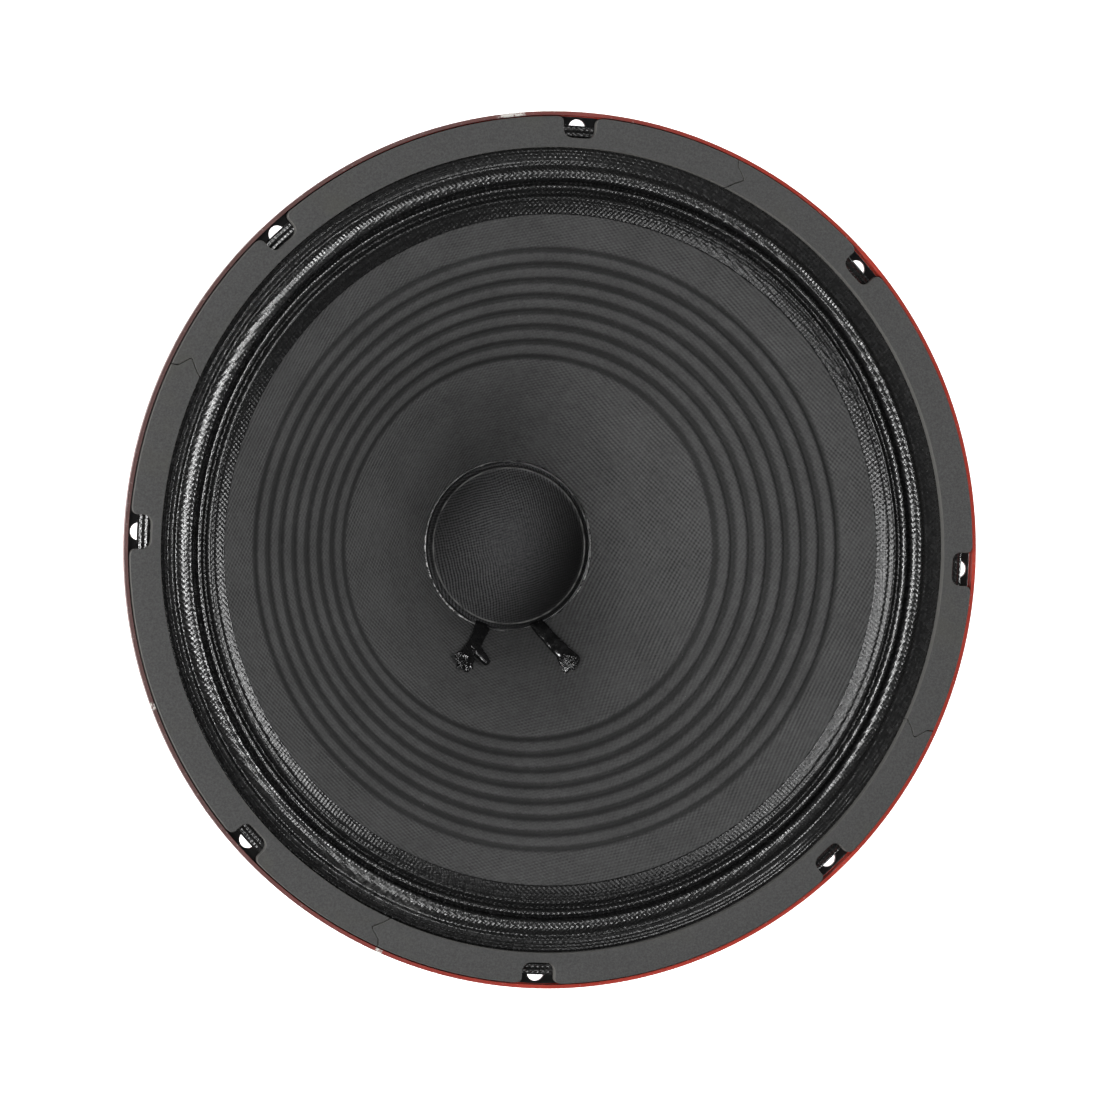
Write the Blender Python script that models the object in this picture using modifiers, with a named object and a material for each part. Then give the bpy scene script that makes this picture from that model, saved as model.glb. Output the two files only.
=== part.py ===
"""A twelve-inch loudspeaker driver: steel basket, ribbed paper cone, cloth surround and ferrite motor.

The driver stands on its back plate. Z = 0 is the rear face of the back plate, +Z runs out of the
front of the cone, and the terminals are on the -Y side. All lengths are in metres.

The cone, dust cap, voice coil and the leads on the cone move together along Z. The surround, the
spider and the tinsel leads bend between them and the basket.
"""
import math

import bmesh
import bpy
from mathutils import Matrix, Vector

# ---------------------------------------------------------------- driving dimensions
GAP = 0.0003                       # clearance between neighbouring pieces

# Flange and bolt holes
RIM_RADIUS = 0.1548                # outside of the turned-up rim
SHEET = 0.0013                     # basket sheet thickness
BOLT_CIRCLE_RADIUS = 0.1493
BOLT_HOLE_RADIUS = 0.0031
BOLT_COUNT = 8
FLANGE_TOP = 0.1310                # front face of the flange floor
RIM_TOP = 0.1343

# Gasket
GASKET_TOP = 0.1360
GASKET_OUTER = 0.1530
GASKET_INNER = 0.14225
GASKET_COUNT = 4
GASKET_FIRST_JOINT = math.radians(67.5)
NOTCH_HALF_WIDTH = 0.0060
NOTCH_DEPTH = 0.0075
NOTCH_CORNER = 0.0030              # radius of the notch's inner corners
NOTCH_MOUTH = 0.0022               # radius of the rounded mouth corners
# Depth from the outer edge and sideways offset of the keyed joint between two segments
GASKET_JOINT = ((0.0, 0.0), (0.0022, 0.0006), (0.0054, 0.0050), (0.0082, 0.0020), (1.0, 0.0))

# Surround
CLOTH = 0.0005
SURROUND_OUTER = 0.1501
SKIRT_INNER = 0.1183               # where the cloth ends on the cone

# Cone and dust cap
CONE_NECK = (0.0232, 0.0492)       # radius and height of the front surface at the neck
CONE_EDGE = (0.1240, 0.1325)       # and at the outer edge
CONE_FLARE_RADIUS = 0.4156         # radius of the arc that the cone's wall follows
PAPER = 0.0010
CAP_RADIUS = 0.0306
CAP_HEIGHT = 0.0105
CAP_CLOTH = 0.0006

# Voice coil
FORMER_INNER = 0.0223
FORMER_OUTER = 0.0226
FORMER_BOTTOM = 0.0215
FORMER_TOP = 0.0530
WINDING_OUTER = 0.0236
WINDING_HEIGHT = 0.0125

# Motor
BACK_PLATE_THICKNESS = 0.0080
BACK_PLATE_RADIUS = 0.0665
MAGNET_RADIUS = 0.0725
MAGNET_BORE = 0.0300
MAGNET_HEIGHT = 0.0180
TOP_PLATE_RADIUS = 0.0665
TOP_PLATE_THICKNESS = 0.0077
TOP_PLATE_BORE = 0.0243
POLE_RADIUS = 0.0216
PLATE_CHAMFER = 0.0008

# Spider
SPIDER_OUTER = 0.0620
SPIDER_HEIGHT = 0.0448             # lower face of the flat outer edge
SPIDER_CLOTH = 0.0006
SPIDER_WAVES = 3
SPIDER_WAVE_HEIGHT = 0.0014

# Basket below the flange
WALL_TOP_RADIUS = 0.1385           # outside of the wall just behind the flange
WINDOW_COUNT = 8
WINDOW_INNER = 0.0780
WINDOW_OUTER = 0.1220
LEG_HALF_WIDTH_INNER = 0.0115
LEG_HALF_WIDTH_OUTER = 0.0150
WINDOW_CORNER = 0.0060
LEG_TOP = (0.1290, 0.1035)         # radius and height where the legs leave the upper ring
LEG_FOOT = (0.0680, 0.0520)        # radius and height where they reach the spider shelf
SHELF_TOP = 0.0445
SHELF_INNER = 0.0530
BASE_INNER = 0.0285

# Screws that hold the basket to the top plate
SCREW_COUNT = 4
SCREW_CIRCLE_RADIUS = 0.0400
SCREW_SHANK_RADIUS = 0.0022
SCREW_HEAD_RADIUS = 0.0042
SCREW_HEAD_HEIGHT = 0.0026
SCREW_LENGTH = 0.0060

# Leads and terminals
LEAD_ANGLES = (math.radians(246.9), math.radians(296.9))
CAP_EXIT_ANGLES = (math.radians(254.9), math.radians(293.5))
EYELET_RADIUS_ON_CONE = 0.0465
EYELET_SHANK = 0.0015
EYELET_HEAD = 0.0028
LEAD_OUT_WIDTH = 0.0046
LEAD_OUT_THICKNESS = 0.0010
TINSEL_RADIUS = 0.0010
BOARD_SIZE = (0.0460, 0.0150, 0.0016)
BOARD_RADIUS = 0.1020              # distance of the board's middle from the axis
BOARD_RIVET_OFFSET = 0.0065
TAB_OFFSET = 0.0180
TAB_WIDTH = 0.0063
TAB_THICKNESS = 0.0008
TAB_FOOT = 0.0100
TAB_BLADE = 0.0090
RIVET_SHANK = 0.0015
RIVET_HEAD = 0.0027
RIVET_HEAD_HEIGHT = 0.0009

# Facets around a full turn
ROUND_LARGE = 56
ROUND_MEDIUM = 40
ROUND_SMALL = 10

FULL_TURN = 2.0 * math.pi
TERMINAL_ANGLE = math.radians(270.0)

# ---------------------------------------------------------------- derived places
MAGNET_BOTTOM = BACK_PLATE_THICKNESS + GAP
MAGNET_TOP = MAGNET_BOTTOM + MAGNET_HEIGHT
TOP_PLATE_BOTTOM = MAGNET_TOP + GAP
TOP_PLATE_TOP = TOP_PLATE_BOTTOM + TOP_PLATE_THICKNESS
POLE_TOP = TOP_PLATE_TOP + 0.0005
BASE_TOP = TOP_PLATE_TOP + GAP + SHEET
GAP_MIDDLE = (TOP_PLATE_BOTTOM + TOP_PLATE_TOP) / 2
CLOTH_BOTTOM = FLANGE_TOP + GAP
GASKET_BOTTOM = CLOTH_BOTTOM + CLOTH + GAP


def cone_flare_centre():
    """Centre of the arc through the cone's neck and edge, below and outside them."""
    neck, edge = Vector(CONE_NECK), Vector(CONE_EDGE)
    half_chord = (edge - neck) / 2
    reach = math.sqrt(CONE_FLARE_RADIUS ** 2 - half_chord.length_squared)
    away = Vector((half_chord.y, -half_chord.x)).normalized()
    return neck + half_chord + away * reach


CONE_FLARE_CENTRE = cone_flare_centre()


def cone_height(radius):
    """Height of the cone's front surface: an arc of CONE_FLARE_RADIUS."""
    centre_radius, centre_height = CONE_FLARE_CENTRE
    return centre_height + math.sqrt(CONE_FLARE_RADIUS ** 2 - (radius - centre_radius) ** 2)


def cone_slope(radius):
    """Angle of the cone's wall above the horizontal."""
    centre_radius, centre_height = CONE_FLARE_CENTRE
    return math.atan2(centre_radius - radius, cone_height(radius) - centre_height)


def leg_height(radius):
    """Height of the inner surface of the basket's conical part."""
    (top_radius, top_height), (foot_radius, foot_height) = LEG_TOP, LEG_FOOT
    share = (radius - foot_radius) / (top_radius - foot_radius)
    return foot_height + share * (top_height - foot_height)


def polar(radius, angle, height=0.0):
    return Vector((radius * math.cos(angle), radius * math.sin(angle), height))


# ---------------------------------------------------------------- scene helpers
def clear_scene():
    for obj in list(bpy.data.objects):
        bpy.data.objects.remove(obj, do_unlink=True)


def new_collection(name):
    collection = bpy.data.collections.new(name)
    bpy.context.scene.collection.children.link(collection)
    return collection


def new_material(name, colour, roughness, metallic=0.0):
    material = bpy.data.materials.new(name)
    material.use_nodes = True
    shader = material.node_tree.nodes["Principled BSDF"]
    shader.inputs["Base Color"].default_value = (*colour, 1.0)
    shader.inputs["Roughness"].default_value = roughness
    shader.inputs["Metallic"].default_value = metallic
    return material


def add_object(name, mesh, collection, material=None):
    obj = bpy.data.objects.new(name, mesh)
    collection.objects.link(obj)
    if material:
        mesh.materials.append(material)
    mesh.shade_smooth()
    return obj


def place(obj, matrix):
    """Put an object at a location and rotation taken from a matrix."""
    obj.location = matrix.to_translation()
    obj.rotation_euler = matrix.to_euler()
    return obj


def profile_mesh(name, points, closed):
    """A polyline in the XZ plane, given as (radius, height) pairs."""
    mesh = bpy.data.meshes.new(name)
    vertices = [(radius, 0.0, height) for radius, height in points]
    edges = [(index, index + 1) for index in range(len(points) - 1)]
    if closed:
        edges.append((len(points) - 1, 0))
    mesh.from_pydata(vertices, edges, [])
    return mesh


def turned(name, points, steps, collection, material, closed=True):
    """Turn a profile about Z. The profile runs down its outer side, top to bottom."""
    obj = add_object(name, profile_mesh(name, points, closed), collection, material)
    turn = obj.modifiers.new("Turn", "SCREW")
    turn.axis = "Z"
    turn.angle = FULL_TURN
    turn.steps = steps
    turn.render_steps = steps
    turn.use_merge_vertices = True
    turn.merge_threshold = 0.00001
    return obj


def hide_cutter(cutter):
    cutter.hide_render = True
    cutter.display_type = "WIRE"


def cut(target, cutter):
    boolean = target.modifiers.new("Cut " + cutter.name, "BOOLEAN")
    boolean.operation = "DIFFERENCE"
    boolean.solver = "EXACT"
    boolean.object = cutter


def rod_cutter(name, matrices, radius, length, collection):
    """One cutter made of equal rods, one for each matrix."""
    mesh = bpy.data.meshes.new(name)
    builder = bmesh.new()
    for matrix in matrices:
        bmesh.ops.create_cone(builder, cap_ends=True, segments=ROUND_SMALL, radius1=radius,
                              radius2=radius, depth=length, matrix=matrix)
    builder.to_mesh(mesh)
    builder.free()
    cutter = add_object(name, mesh, collection)
    hide_cutter(cutter)
    return cutter


def flat_outline(name, points, thickness, collection, material=None):
    """A flat outline in the XY plane, thickened equally to both sides and made a mesh."""
    curve = bpy.data.curves.new(name, "CURVE")
    curve.dimensions = "2D"
    curve.fill_mode = "BOTH"
    curve.extrude = thickness / 2
    spline = curve.splines.new("POLY")
    spline.points.add(len(points) - 1)
    for point, (x, y) in zip(spline.points, points):
        point.co = (x, y, 0.0, 1.0)
    spline.use_cyclic_u = True
    guide = bpy.data.objects.new(name + "_outline", curve)
    collection.objects.link(guide)
    mesh = mesh_from_curve(guide, name)
    return add_object(name, mesh, collection, material)


def mesh_from_curve(guide, name):
    """The welded mesh of a curve object. The curve object is removed."""
    bpy.context.view_layer.update()
    evaluated = guide.evaluated_get(bpy.context.evaluated_depsgraph_get())
    mesh = bpy.data.meshes.new_from_object(evaluated)
    mesh.name = name
    builder = bmesh.new()
    builder.from_mesh(mesh)
    bmesh.ops.remove_doubles(builder, verts=builder.verts, dist=0.00001)
    bmesh.ops.recalc_face_normals(builder, faces=builder.faces)
    builder.to_mesh(mesh)
    builder.free()
    bpy.data.objects.remove(guide, do_unlink=True)
    return mesh


def wire(name, points, radius, collection, material):
    """A round wire through points, with filled ends."""
    curve = bpy.data.curves.new(name, "CURVE")
    curve.dimensions = "3D"
    curve.bevel_depth = radius
    curve.bevel_resolution = 2
    curve.use_fill_caps = True
    spline = curve.splines.new("POLY")
    spline.points.add(len(points) - 1)
    for point, place_on_path in zip(spline.points, points):
        point.co = (*place_on_path, 1.0)
    guide = bpy.data.objects.new(name + "_path", curve)
    collection.objects.link(guide)
    return add_object(name, mesh_from_curve(guide, name), collection, material)


def arc(centre, radius, start, end, count):
    """Points along an arc, both ends included; angles in radians."""
    turns = [start + (end - start) * step / (count - 1) for step in range(count)]
    return [(centre[0] + radius * math.cos(turn), centre[1] + radius * math.sin(turn))
            for turn in turns]


# ---------------------------------------------------------------- basket
def basket_profile():
    """Front side of the sheet from the rim's top, over the flange and legs, to the base's bore."""
    rim_inside = RIM_RADIUS - SHEET
    wall_inside = WALL_TOP_RADIUS - SHEET
    wall_foot = (LEG_TOP[0] + 0.0020, LEG_TOP[1] + 0.0045)
    flange_bend = 0.0030
    shelf_outer = LEG_FOOT[0] - 0.0035
    cup_foot = SHELF_INNER - 0.0025
    return [
        (rim_inside, RIM_TOP),
        (rim_inside, FLANGE_TOP),
        (wall_inside + flange_bend, FLANGE_TOP),
        (wall_inside, FLANGE_TOP - flange_bend),
        wall_foot,
        LEG_TOP,
        LEG_FOOT,
        (shelf_outer, SHELF_TOP),
        (SHELF_INNER, SHELF_TOP),
        (cup_foot, BASE_TOP),
        (BASE_INNER, BASE_TOP),
    ]


def window_outline(angle):
    """A four-sided window between two legs, seen along Z, with rounded corners."""
    half_pitch = math.pi / WINDOW_COUNT
    corners = []
    for radius, leg_half_width, side in (
            (WINDOW_INNER, LEG_HALF_WIDTH_INNER, -1), (WINDOW_INNER, LEG_HALF_WIDTH_INNER, 1),
            (WINDOW_OUTER, LEG_HALF_WIDTH_OUTER, 1), (WINDOW_OUTER, LEG_HALF_WIDTH_OUTER, -1)):
        turn = half_pitch - math.asin(leg_half_width / radius)
        corners.append(polar(radius, angle + side * turn).to_2d())
    return rounded_corners(corners, WINDOW_CORNER, 4)


def rounded_corners(corners, cut_back, count):
    """Replace each corner by a quadratic curve that starts and ends cut_back away from it."""
    points = []
    for index, corner in enumerate(corners):
        before = corner + (corners[index - 1] - corner).normalized() * cut_back
        after = corner + (corners[(index + 1) % len(corners)] - corner).normalized() * cut_back
        for step in range(count):
            share = step / (count - 1)
            points.append(before.lerp(corner, share).lerp(corner.lerp(after, share), share))
    return [tuple(point) for point in points]


def make_basket(collection, cutters, material):
    basket = turned("basket", basket_profile(), ROUND_LARGE, collection, material, closed=False)
    sheet = basket.modifiers.new("Sheet", "SOLIDIFY")
    sheet.thickness = SHEET
    sheet.offset = 1.0
    sheet.use_even_offset = True
    holes = [Matrix.Translation(polar(BOLT_CIRCLE_RADIUS, FULL_TURN * index / BOLT_COUNT, FLANGE_TOP))
             for index in range(BOLT_COUNT)]
    cut(basket, rod_cutter("bolt_hole_cutter", holes, BOLT_HOLE_RADIUS, 0.0060, cutters))
    for index in range(WINDOW_COUNT):
        angle = FULL_TURN * (index + 0.5) / WINDOW_COUNT
        name = "window_cutter_%d" % (index + 1)
        cutter = flat_outline(name, window_outline(angle), 0.0700, cutters)
        cutter.location.z = (LEG_TOP[1] + LEG_FOOT[1]) / 2
        hide_cutter(cutter)
        cut(basket, cutter)
    cut(basket, rod_cutter("base_screw_cutter", screw_places(BASE_TOP),
                           SCREW_SHANK_RADIUS + GAP, 0.0060, cutters))
    cut(basket, rod_cutter("leg_rivet_cutter", board_rivet_places(), RIVET_SHANK + GAP, 0.0200, cutters))
    return basket


# ---------------------------------------------------------------- gasket
def notch_points(angle):
    """Outline of one notch, from its anticlockwise side to its clockwise side."""
    floor = GASKET_OUTER - NOTCH_DEPTH
    mouth = NOTCH_HALF_WIDTH + NOTCH_MOUTH
    edge = math.sqrt(GASKET_OUTER ** 2 - mouth ** 2)
    half = [(mouth, edge)]
    half += arc((mouth, edge - NOTCH_MOUTH), NOTCH_MOUTH, math.radians(135), math.pi, 2)
    half += arc((NOTCH_HALF_WIDTH - NOTCH_CORNER, floor + NOTCH_CORNER), NOTCH_CORNER,
                0.0, -math.pi / 2, 4)
    outline = half + [(-side, radius) for side, radius in reversed(half)]
    along = Vector((-math.sin(angle), math.cos(angle)))
    outward = Vector((math.cos(angle), math.sin(angle)))
    return [tuple(along * side + outward * radius) for side, radius in outline]


def joint_points(angle, shift):
    """The keyed joint line at an angle, from the outer to the inner edge, moved sideways by shift."""
    width = GASKET_OUTER - GASKET_INNER
    clockwise = Vector((math.sin(angle), -math.cos(angle)))
    outward = Vector((math.cos(angle), math.sin(angle)))
    points = []
    for depth, offset in GASKET_JOINT:
        radius = GASKET_OUTER - min(depth, width)
        points.append(tuple(outward * radius + clockwise * (offset + shift)))
    return points


def arc_between(radius, start, end, largest_step=math.radians(7.5)):
    """Points on a circle strictly between two angles."""
    count = max(2, math.ceil(abs(end - start) / largest_step))
    return [tuple(polar(radius, start + (end - start) * step / count).to_2d())
            for step in range(1, count)]


def gasket_outline(index):
    pitch = FULL_TURN / GASKET_COUNT
    start = GASKET_FIRST_JOINT + pitch * index
    end = start + pitch
    notch_turn = (NOTCH_HALF_WIDTH + NOTCH_MOUTH) / GASKET_OUTER
    bolt_pitch = FULL_TURN / BOLT_COUNT
    bolts = [end - bolt_pitch * (step + 0.5) for step in range(BOLT_COUNT // GASKET_COUNT)]
    outline = joint_points(start, -GAP / 2)[::-1]
    low = start
    for bolt in reversed(bolts):
        outline += arc_between(GASKET_OUTER, low, bolt - notch_turn)
        outline += notch_points(bolt)[::-1]
        low = bolt + notch_turn
    outline += arc_between(GASKET_OUTER, low, end)
    outline += joint_points(end, GAP / 2)
    outline += arc_between(GASKET_INNER, end, start)
    return outline


def make_gasket(collection, material):
    thickness = GASKET_TOP - GASKET_BOTTOM
    for index in range(GASKET_COUNT):
        name = "gasket_segment_%d" % (index + 1)
        segment = flat_outline(name, gasket_outline(index), thickness, collection, material)
        segment.location.z = GASKET_BOTTOM + thickness / 2


# ---------------------------------------------------------------- moving parts
def make_cone(collection, cutters, material):
    """A flared paper cone whose wall follows one arc, with two holes for the lead eyelets."""
    bands = 5
    radii = [CONE_NECK[0] + (CONE_EDGE[0] - CONE_NECK[0]) * step / bands for step in range(bands + 1)]
    front = [(radius, cone_height(radius)) for radius in radii]
    back = [(radius, cone_height(radius) - PAPER / math.cos(cone_slope(radius)))
            for radius in reversed(radii)]
    cone = turned("cone", front + back, ROUND_LARGE, collection, material)
    cut(cone, rod_cutter("eyelet_cutter", eyelet_places(), EYELET_SHANK + GAP, 0.0080, cutters))
    return cone


def make_dust_cap(collection, material):
    """A dome of cloth whose edge stands just above the cone."""
    foot = cone_height(CAP_RADIUS) + GAP
    sphere_radius = (CAP_RADIUS ** 2 + CAP_HEIGHT ** 2) / (2 * CAP_HEIGHT)
    centre = (0.0, foot + CAP_HEIGHT - sphere_radius)
    edge_turn = math.asin(CAP_RADIUS / sphere_radius)
    steps = 5
    outer = arc(centre, sphere_radius, math.pi / 2, math.pi / 2 - edge_turn, steps)
    inner = arc(centre, sphere_radius - CAP_CLOTH, math.pi / 2 - edge_turn, math.pi / 2, steps)
    return turned("dust_cap", outer + inner, ROUND_MEDIUM, collection, material, closed=False)


def tube_profile(inner, outer, bottom, top):
    return [(outer, top), (outer, bottom), (inner, bottom), (inner, top)]


def make_voice_coil(collection, paper, copper):
    turned("coil_former", tube_profile(FORMER_INNER, FORMER_OUTER, FORMER_BOTTOM, FORMER_TOP),
           ROUND_MEDIUM, collection, paper)
    turned("coil_winding", tube_profile(FORMER_OUTER + GAP, WINDING_OUTER,
                                        GAP_MIDDLE - WINDING_HEIGHT / 2,
                                        GAP_MIDDLE + WINDING_HEIGHT / 2),
           ROUND_MEDIUM, collection, copper)


def make_surround(collection, material):
    """Flat edge on the flange, one wide and one narrow roll, and a skirt along the cone's edge."""
    flat_top = CLOTH_BOTTOM + CLOTH
    skirt_lift = GAP + CLOTH / 2
    upper = [
        (SURROUND_OUTER, CLOTH_BOTTOM + CLOTH / 2),
        (0.1362, CLOTH_BOTTOM + CLOTH / 2),
        (0.1328, flat_top + 0.0021),
        (0.1297, flat_top - 0.0026),
        (0.1279, flat_top + 0.0006),
        (0.1259, flat_top - 0.0010),
        (CONE_EDGE[0], cone_height(CONE_EDGE[0]) + skirt_lift),
        (SKIRT_INNER, cone_height(SKIRT_INNER) + skirt_lift),
    ]
    surround = turned("surround", upper, ROUND_LARGE, collection, material, closed=False)
    cloth = surround.modifiers.new("Cloth", "SOLIDIFY")
    cloth.thickness = CLOTH
    cloth.offset = 0.0
    cloth.use_even_offset = True
    return surround


def make_spider(collection, material):
    """A corrugated disc between the coil former and the basket's shelf."""
    hub = FORMER_OUTER + GAP
    first_wave = hub + 0.0040
    wave_length = (SHELF_INNER - first_wave) / SPIDER_WAVES
    middle = SPIDER_HEIGHT + SPIDER_CLOTH / 2
    points = [(SPIDER_OUTER, middle), (SHELF_INNER, middle)]
    for wave in range(SPIDER_WAVES):
        start = SHELF_INNER - wave * wave_length
        points.append((start - wave_length / 4, middle + SPIDER_WAVE_HEIGHT))
        points.append((start - wave_length * 3 / 4, middle - SPIDER_WAVE_HEIGHT))
    points.append((first_wave, middle))
    points.append((hub, middle))
    spider = turned("spider", points, ROUND_MEDIUM, collection, material, closed=False)
    cloth = spider.modifiers.new("Cloth", "SOLIDIFY")
    cloth.thickness = SPIDER_CLOTH
    cloth.offset = 0.0
    return spider


# ---------------------------------------------------------------- motor
def ring_profile(inner, outer, bottom, top, chamfer):
    """A flat ring with its two outer edges chamfered."""
    return [(inner, top), (outer - chamfer, top), (outer, top - chamfer),
            (outer, bottom + chamfer), (outer - chamfer, bottom), (inner, bottom)]


def make_motor(collection, cutters, steel, ferrite):
    turned("back_plate", ring_profile(0.0, BACK_PLATE_RADIUS, 0.0, BACK_PLATE_THICKNESS, PLATE_CHAMFER),
           ROUND_LARGE, collection, steel, closed=False)
    turned("magnet", ring_profile(MAGNET_BORE, MAGNET_RADIUS, MAGNET_BOTTOM, MAGNET_TOP, 2 * PLATE_CHAMFER),
           ROUND_LARGE, collection, ferrite)
    top_plate = turned("top_plate", ring_profile(TOP_PLATE_BORE, TOP_PLATE_RADIUS, TOP_PLATE_BOTTOM,
                                                 TOP_PLATE_TOP, PLATE_CHAMFER),
                       ROUND_LARGE, collection, steel)
    cut(top_plate, rod_cutter("plate_screw_cutter", screw_places(TOP_PLATE_TOP),
                              SCREW_SHANK_RADIUS + GAP, 4 * SCREW_LENGTH, cutters))
    turned("pole_piece", ring_profile(0.0, POLE_RADIUS, BACK_PLATE_THICKNESS + GAP, POLE_TOP, PLATE_CHAMFER),
           ROUND_MEDIUM, collection, steel, closed=False)


def screw_places(height):
    step = FULL_TURN / SCREW_COUNT
    return [Matrix.Translation(polar(SCREW_CIRCLE_RADIUS, step * (index + 0.5), height))
            for index in range(SCREW_COUNT)]


def make_plate_screws(collection, material):
    """Pan-head screws, drawn with the head's lower face at Z = 0."""
    head = [(0.0, SCREW_HEAD_HEIGHT), (SCREW_HEAD_RADIUS * 0.75, SCREW_HEAD_HEIGHT),
            (SCREW_HEAD_RADIUS, SCREW_HEAD_HEIGHT * 0.5), (SCREW_HEAD_RADIUS, 0.0)]
    shank = [(SCREW_SHANK_RADIUS, 0.0), (SCREW_SHANK_RADIUS, -SCREW_LENGTH + GAP),
             (0.0, -SCREW_LENGTH + GAP)]
    for index, matrix in enumerate(screw_places(BASE_TOP + GAP)):
        name = "plate_screw_%d" % (index + 1)
        screw = turned(name, head + shank, ROUND_SMALL, collection, material, closed=False)
        place(screw, matrix)


# ---------------------------------------------------------------- leads and terminals
def cone_frame(angle, radius):
    """Matrix on the cone's front: X across the slope, Y up the slope, Z out of the paper."""
    slope = cone_slope(radius)
    turn = Matrix.Rotation(angle - math.pi / 2, 4, "Z")
    tilt = Matrix.Rotation(slope, 4, "X")
    return Matrix.Translation(polar(radius, angle, cone_height(radius))) @ turn @ tilt


def eyelet_places():
    return [cone_frame(angle, EYELET_RADIUS_ON_CONE) for angle in LEAD_ANGLES]


def spool_profile(shank, head, head_height, front, back):
    """A headed pin from the front head's top down to the back head's end."""
    return [(0.0, front + head_height), (head * 0.7, front + head_height), (head, front),
            (shank, front), (shank, back), (head, back), (head * 0.7, back - head_height),
            (0.0, back - head_height)]


def make_cone_leads(collection, copper, dope):
    """Two eyelets through the cone, and the strips that join them to the coil under the cap."""
    paper_back = -PAPER - 2 * GAP
    for index, matrix in enumerate(eyelet_places()):
        name = "lead_eyelet_%d" % (index + 1)
        profile = spool_profile(EYELET_SHANK, EYELET_HEAD, 0.0008, GAP, paper_back)
        place(turned(name, profile, ROUND_SMALL, collection, copper, closed=False), matrix)
    for index, (eyelet_angle, cap_angle) in enumerate(zip(LEAD_ANGLES, CAP_EXIT_ANGLES)):
        make_lead_out("lead_out_%d" % (index + 1), eyelet_angle, cap_angle, collection, dope)


def make_lead_out(name, eyelet_angle, cap_angle, collection, material):
    """A flat strip on the cone's slope from the cap's edge to the eyelet."""
    middle_radius = (CAP_RADIUS + EYELET_RADIUS_ON_CONE) / 2
    frame = cone_frame((eyelet_angle + cap_angle) / 2, middle_radius)
    to_local = frame.inverted()
    inner = to_local @ polar(CAP_RADIUS, cap_angle, cone_height(CAP_RADIUS))
    outer = to_local @ polar(EYELET_RADIUS_ON_CONE, eyelet_angle, cone_height(EYELET_RADIUS_ON_CONE))
    along = (outer - inner).to_2d().normalized()
    across = Vector((-along.y, along.x)) * LEAD_OUT_WIDTH / 2
    start = inner.to_2d() + along * 0.0030
    end = outer.to_2d() - along * (EYELET_HEAD + GAP)
    corners = [start - across, end - across, end + across, start + across]
    strip = flat_outline(name, [tuple(corner) for corner in corners], LEAD_OUT_THICKNESS,
                         collection, material)
    lift = Matrix.Translation((0.0, 0.0, LEAD_OUT_THICKNESS / 2 + 2 * GAP))
    place(strip, frame @ lift)


def leg_frame():
    """Matrix on the terminal leg's rear: X along the board, Y up the leg, Z out of the rear."""
    slope = math.atan2(LEG_TOP[1] - LEG_FOOT[1], LEG_TOP[0] - LEG_FOOT[0])
    turn = Matrix.Rotation(TERMINAL_ANGLE - math.pi / 2, 4, "Z")
    tilt = Matrix.Rotation(slope, 4, "X")
    flip = Matrix.Rotation(math.pi, 4, "Y")
    place_on_leg = Matrix.Translation(polar(BOARD_RADIUS, TERMINAL_ANGLE, leg_height(BOARD_RADIUS)))
    return place_on_leg @ turn @ tilt @ flip @ Matrix.Translation((0.0, 0.0, SHEET))


def board_rivet_places():
    return [leg_frame() @ Matrix.Translation((side * BOARD_RIVET_OFFSET, 0.0, 0.0)) for side in (-1, 1)]


def tab_rivet_places():
    return [leg_frame() @ Matrix.Translation((side * TAB_OFFSET, 0.0, 0.0)) for side in (-1, 1)]


def make_terminals(collection, cutters, board_material, brass):
    length, width, thickness = BOARD_SIZE
    board_bottom = GAP
    board_top = board_bottom + thickness
    corners = [Vector(corner) for corner in ((-length / 2, -width / 2), (length / 2, -width / 2),
                                             (length / 2, width / 2), (-length / 2, width / 2))]
    board = flat_outline("terminal_board", rounded_corners(corners, 0.0020, 3), thickness,
                         collection, board_material)
    place(board, leg_frame() @ Matrix.Translation((0.0, 0.0, board_bottom + thickness / 2)))
    rivets = board_rivet_places() + tab_rivet_places()
    cut(board, rod_cutter("board_hole_cutter", rivets, RIVET_SHANK + GAP, 0.0200, cutters))
    make_board_rivets(board_top, collection, brass)
    make_terminal_tabs(board_bottom, board_top, collection, cutters, brass)


def make_board_rivets(board_top, collection, material):
    """Rivets through the board and the leg, whose inner side is curved, so its gap is wider."""
    profile = spool_profile(RIVET_SHANK, RIVET_HEAD, RIVET_HEAD_HEIGHT, board_top + GAP,
                            -SHEET - 3 * GAP)
    for index, matrix in enumerate(board_rivet_places()):
        rivet = turned("board_rivet_%d" % (index + 1), profile, ROUND_SMALL, collection, material,
                       closed=False)
        place(rivet, matrix)


def make_terminal_tabs(board_bottom, board_top, collection, cutters, material):
    """Two bent tabs, each held by a rivet through its foot and the board."""
    foot_top = board_top + GAP + TAB_THICKNESS
    profile = spool_profile(RIVET_SHANK, RIVET_HEAD, RIVET_HEAD_HEIGHT, foot_top + GAP,
                            board_bottom - GAP)
    half_foot = TAB_FOOT / 2
    bend = [(-half_foot, 0.0), (half_foot, 0.0), (half_foot, TAB_BLADE),
            (half_foot - TAB_THICKNESS, TAB_BLADE), (half_foot - TAB_THICKNESS, TAB_THICKNESS),
            (-half_foot, TAB_THICKNESS)]
    stand_up = Matrix.Rotation(math.pi / 2, 4, "X")
    for index, matrix in enumerate(tab_rivet_places()):
        side = 1 if index else -1
        outline = [(side * x, y) for x, y in bend]
        tab = flat_outline("terminal_tab_%d" % (index + 1), outline, TAB_WIDTH, collection, material)
        place(tab, matrix @ Matrix.Translation((0.0, 0.0, board_top + GAP)) @ stand_up)
        cut(tab, rod_cutter("tab_cutter_%d" % (index + 1), [matrix], RIVET_SHANK + GAP, 0.0100, cutters))
        rivet = turned("terminal_rivet_%d" % (index + 1), profile, ROUND_SMALL, collection, material,
                       closed=False)
        place(rivet, matrix)


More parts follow.
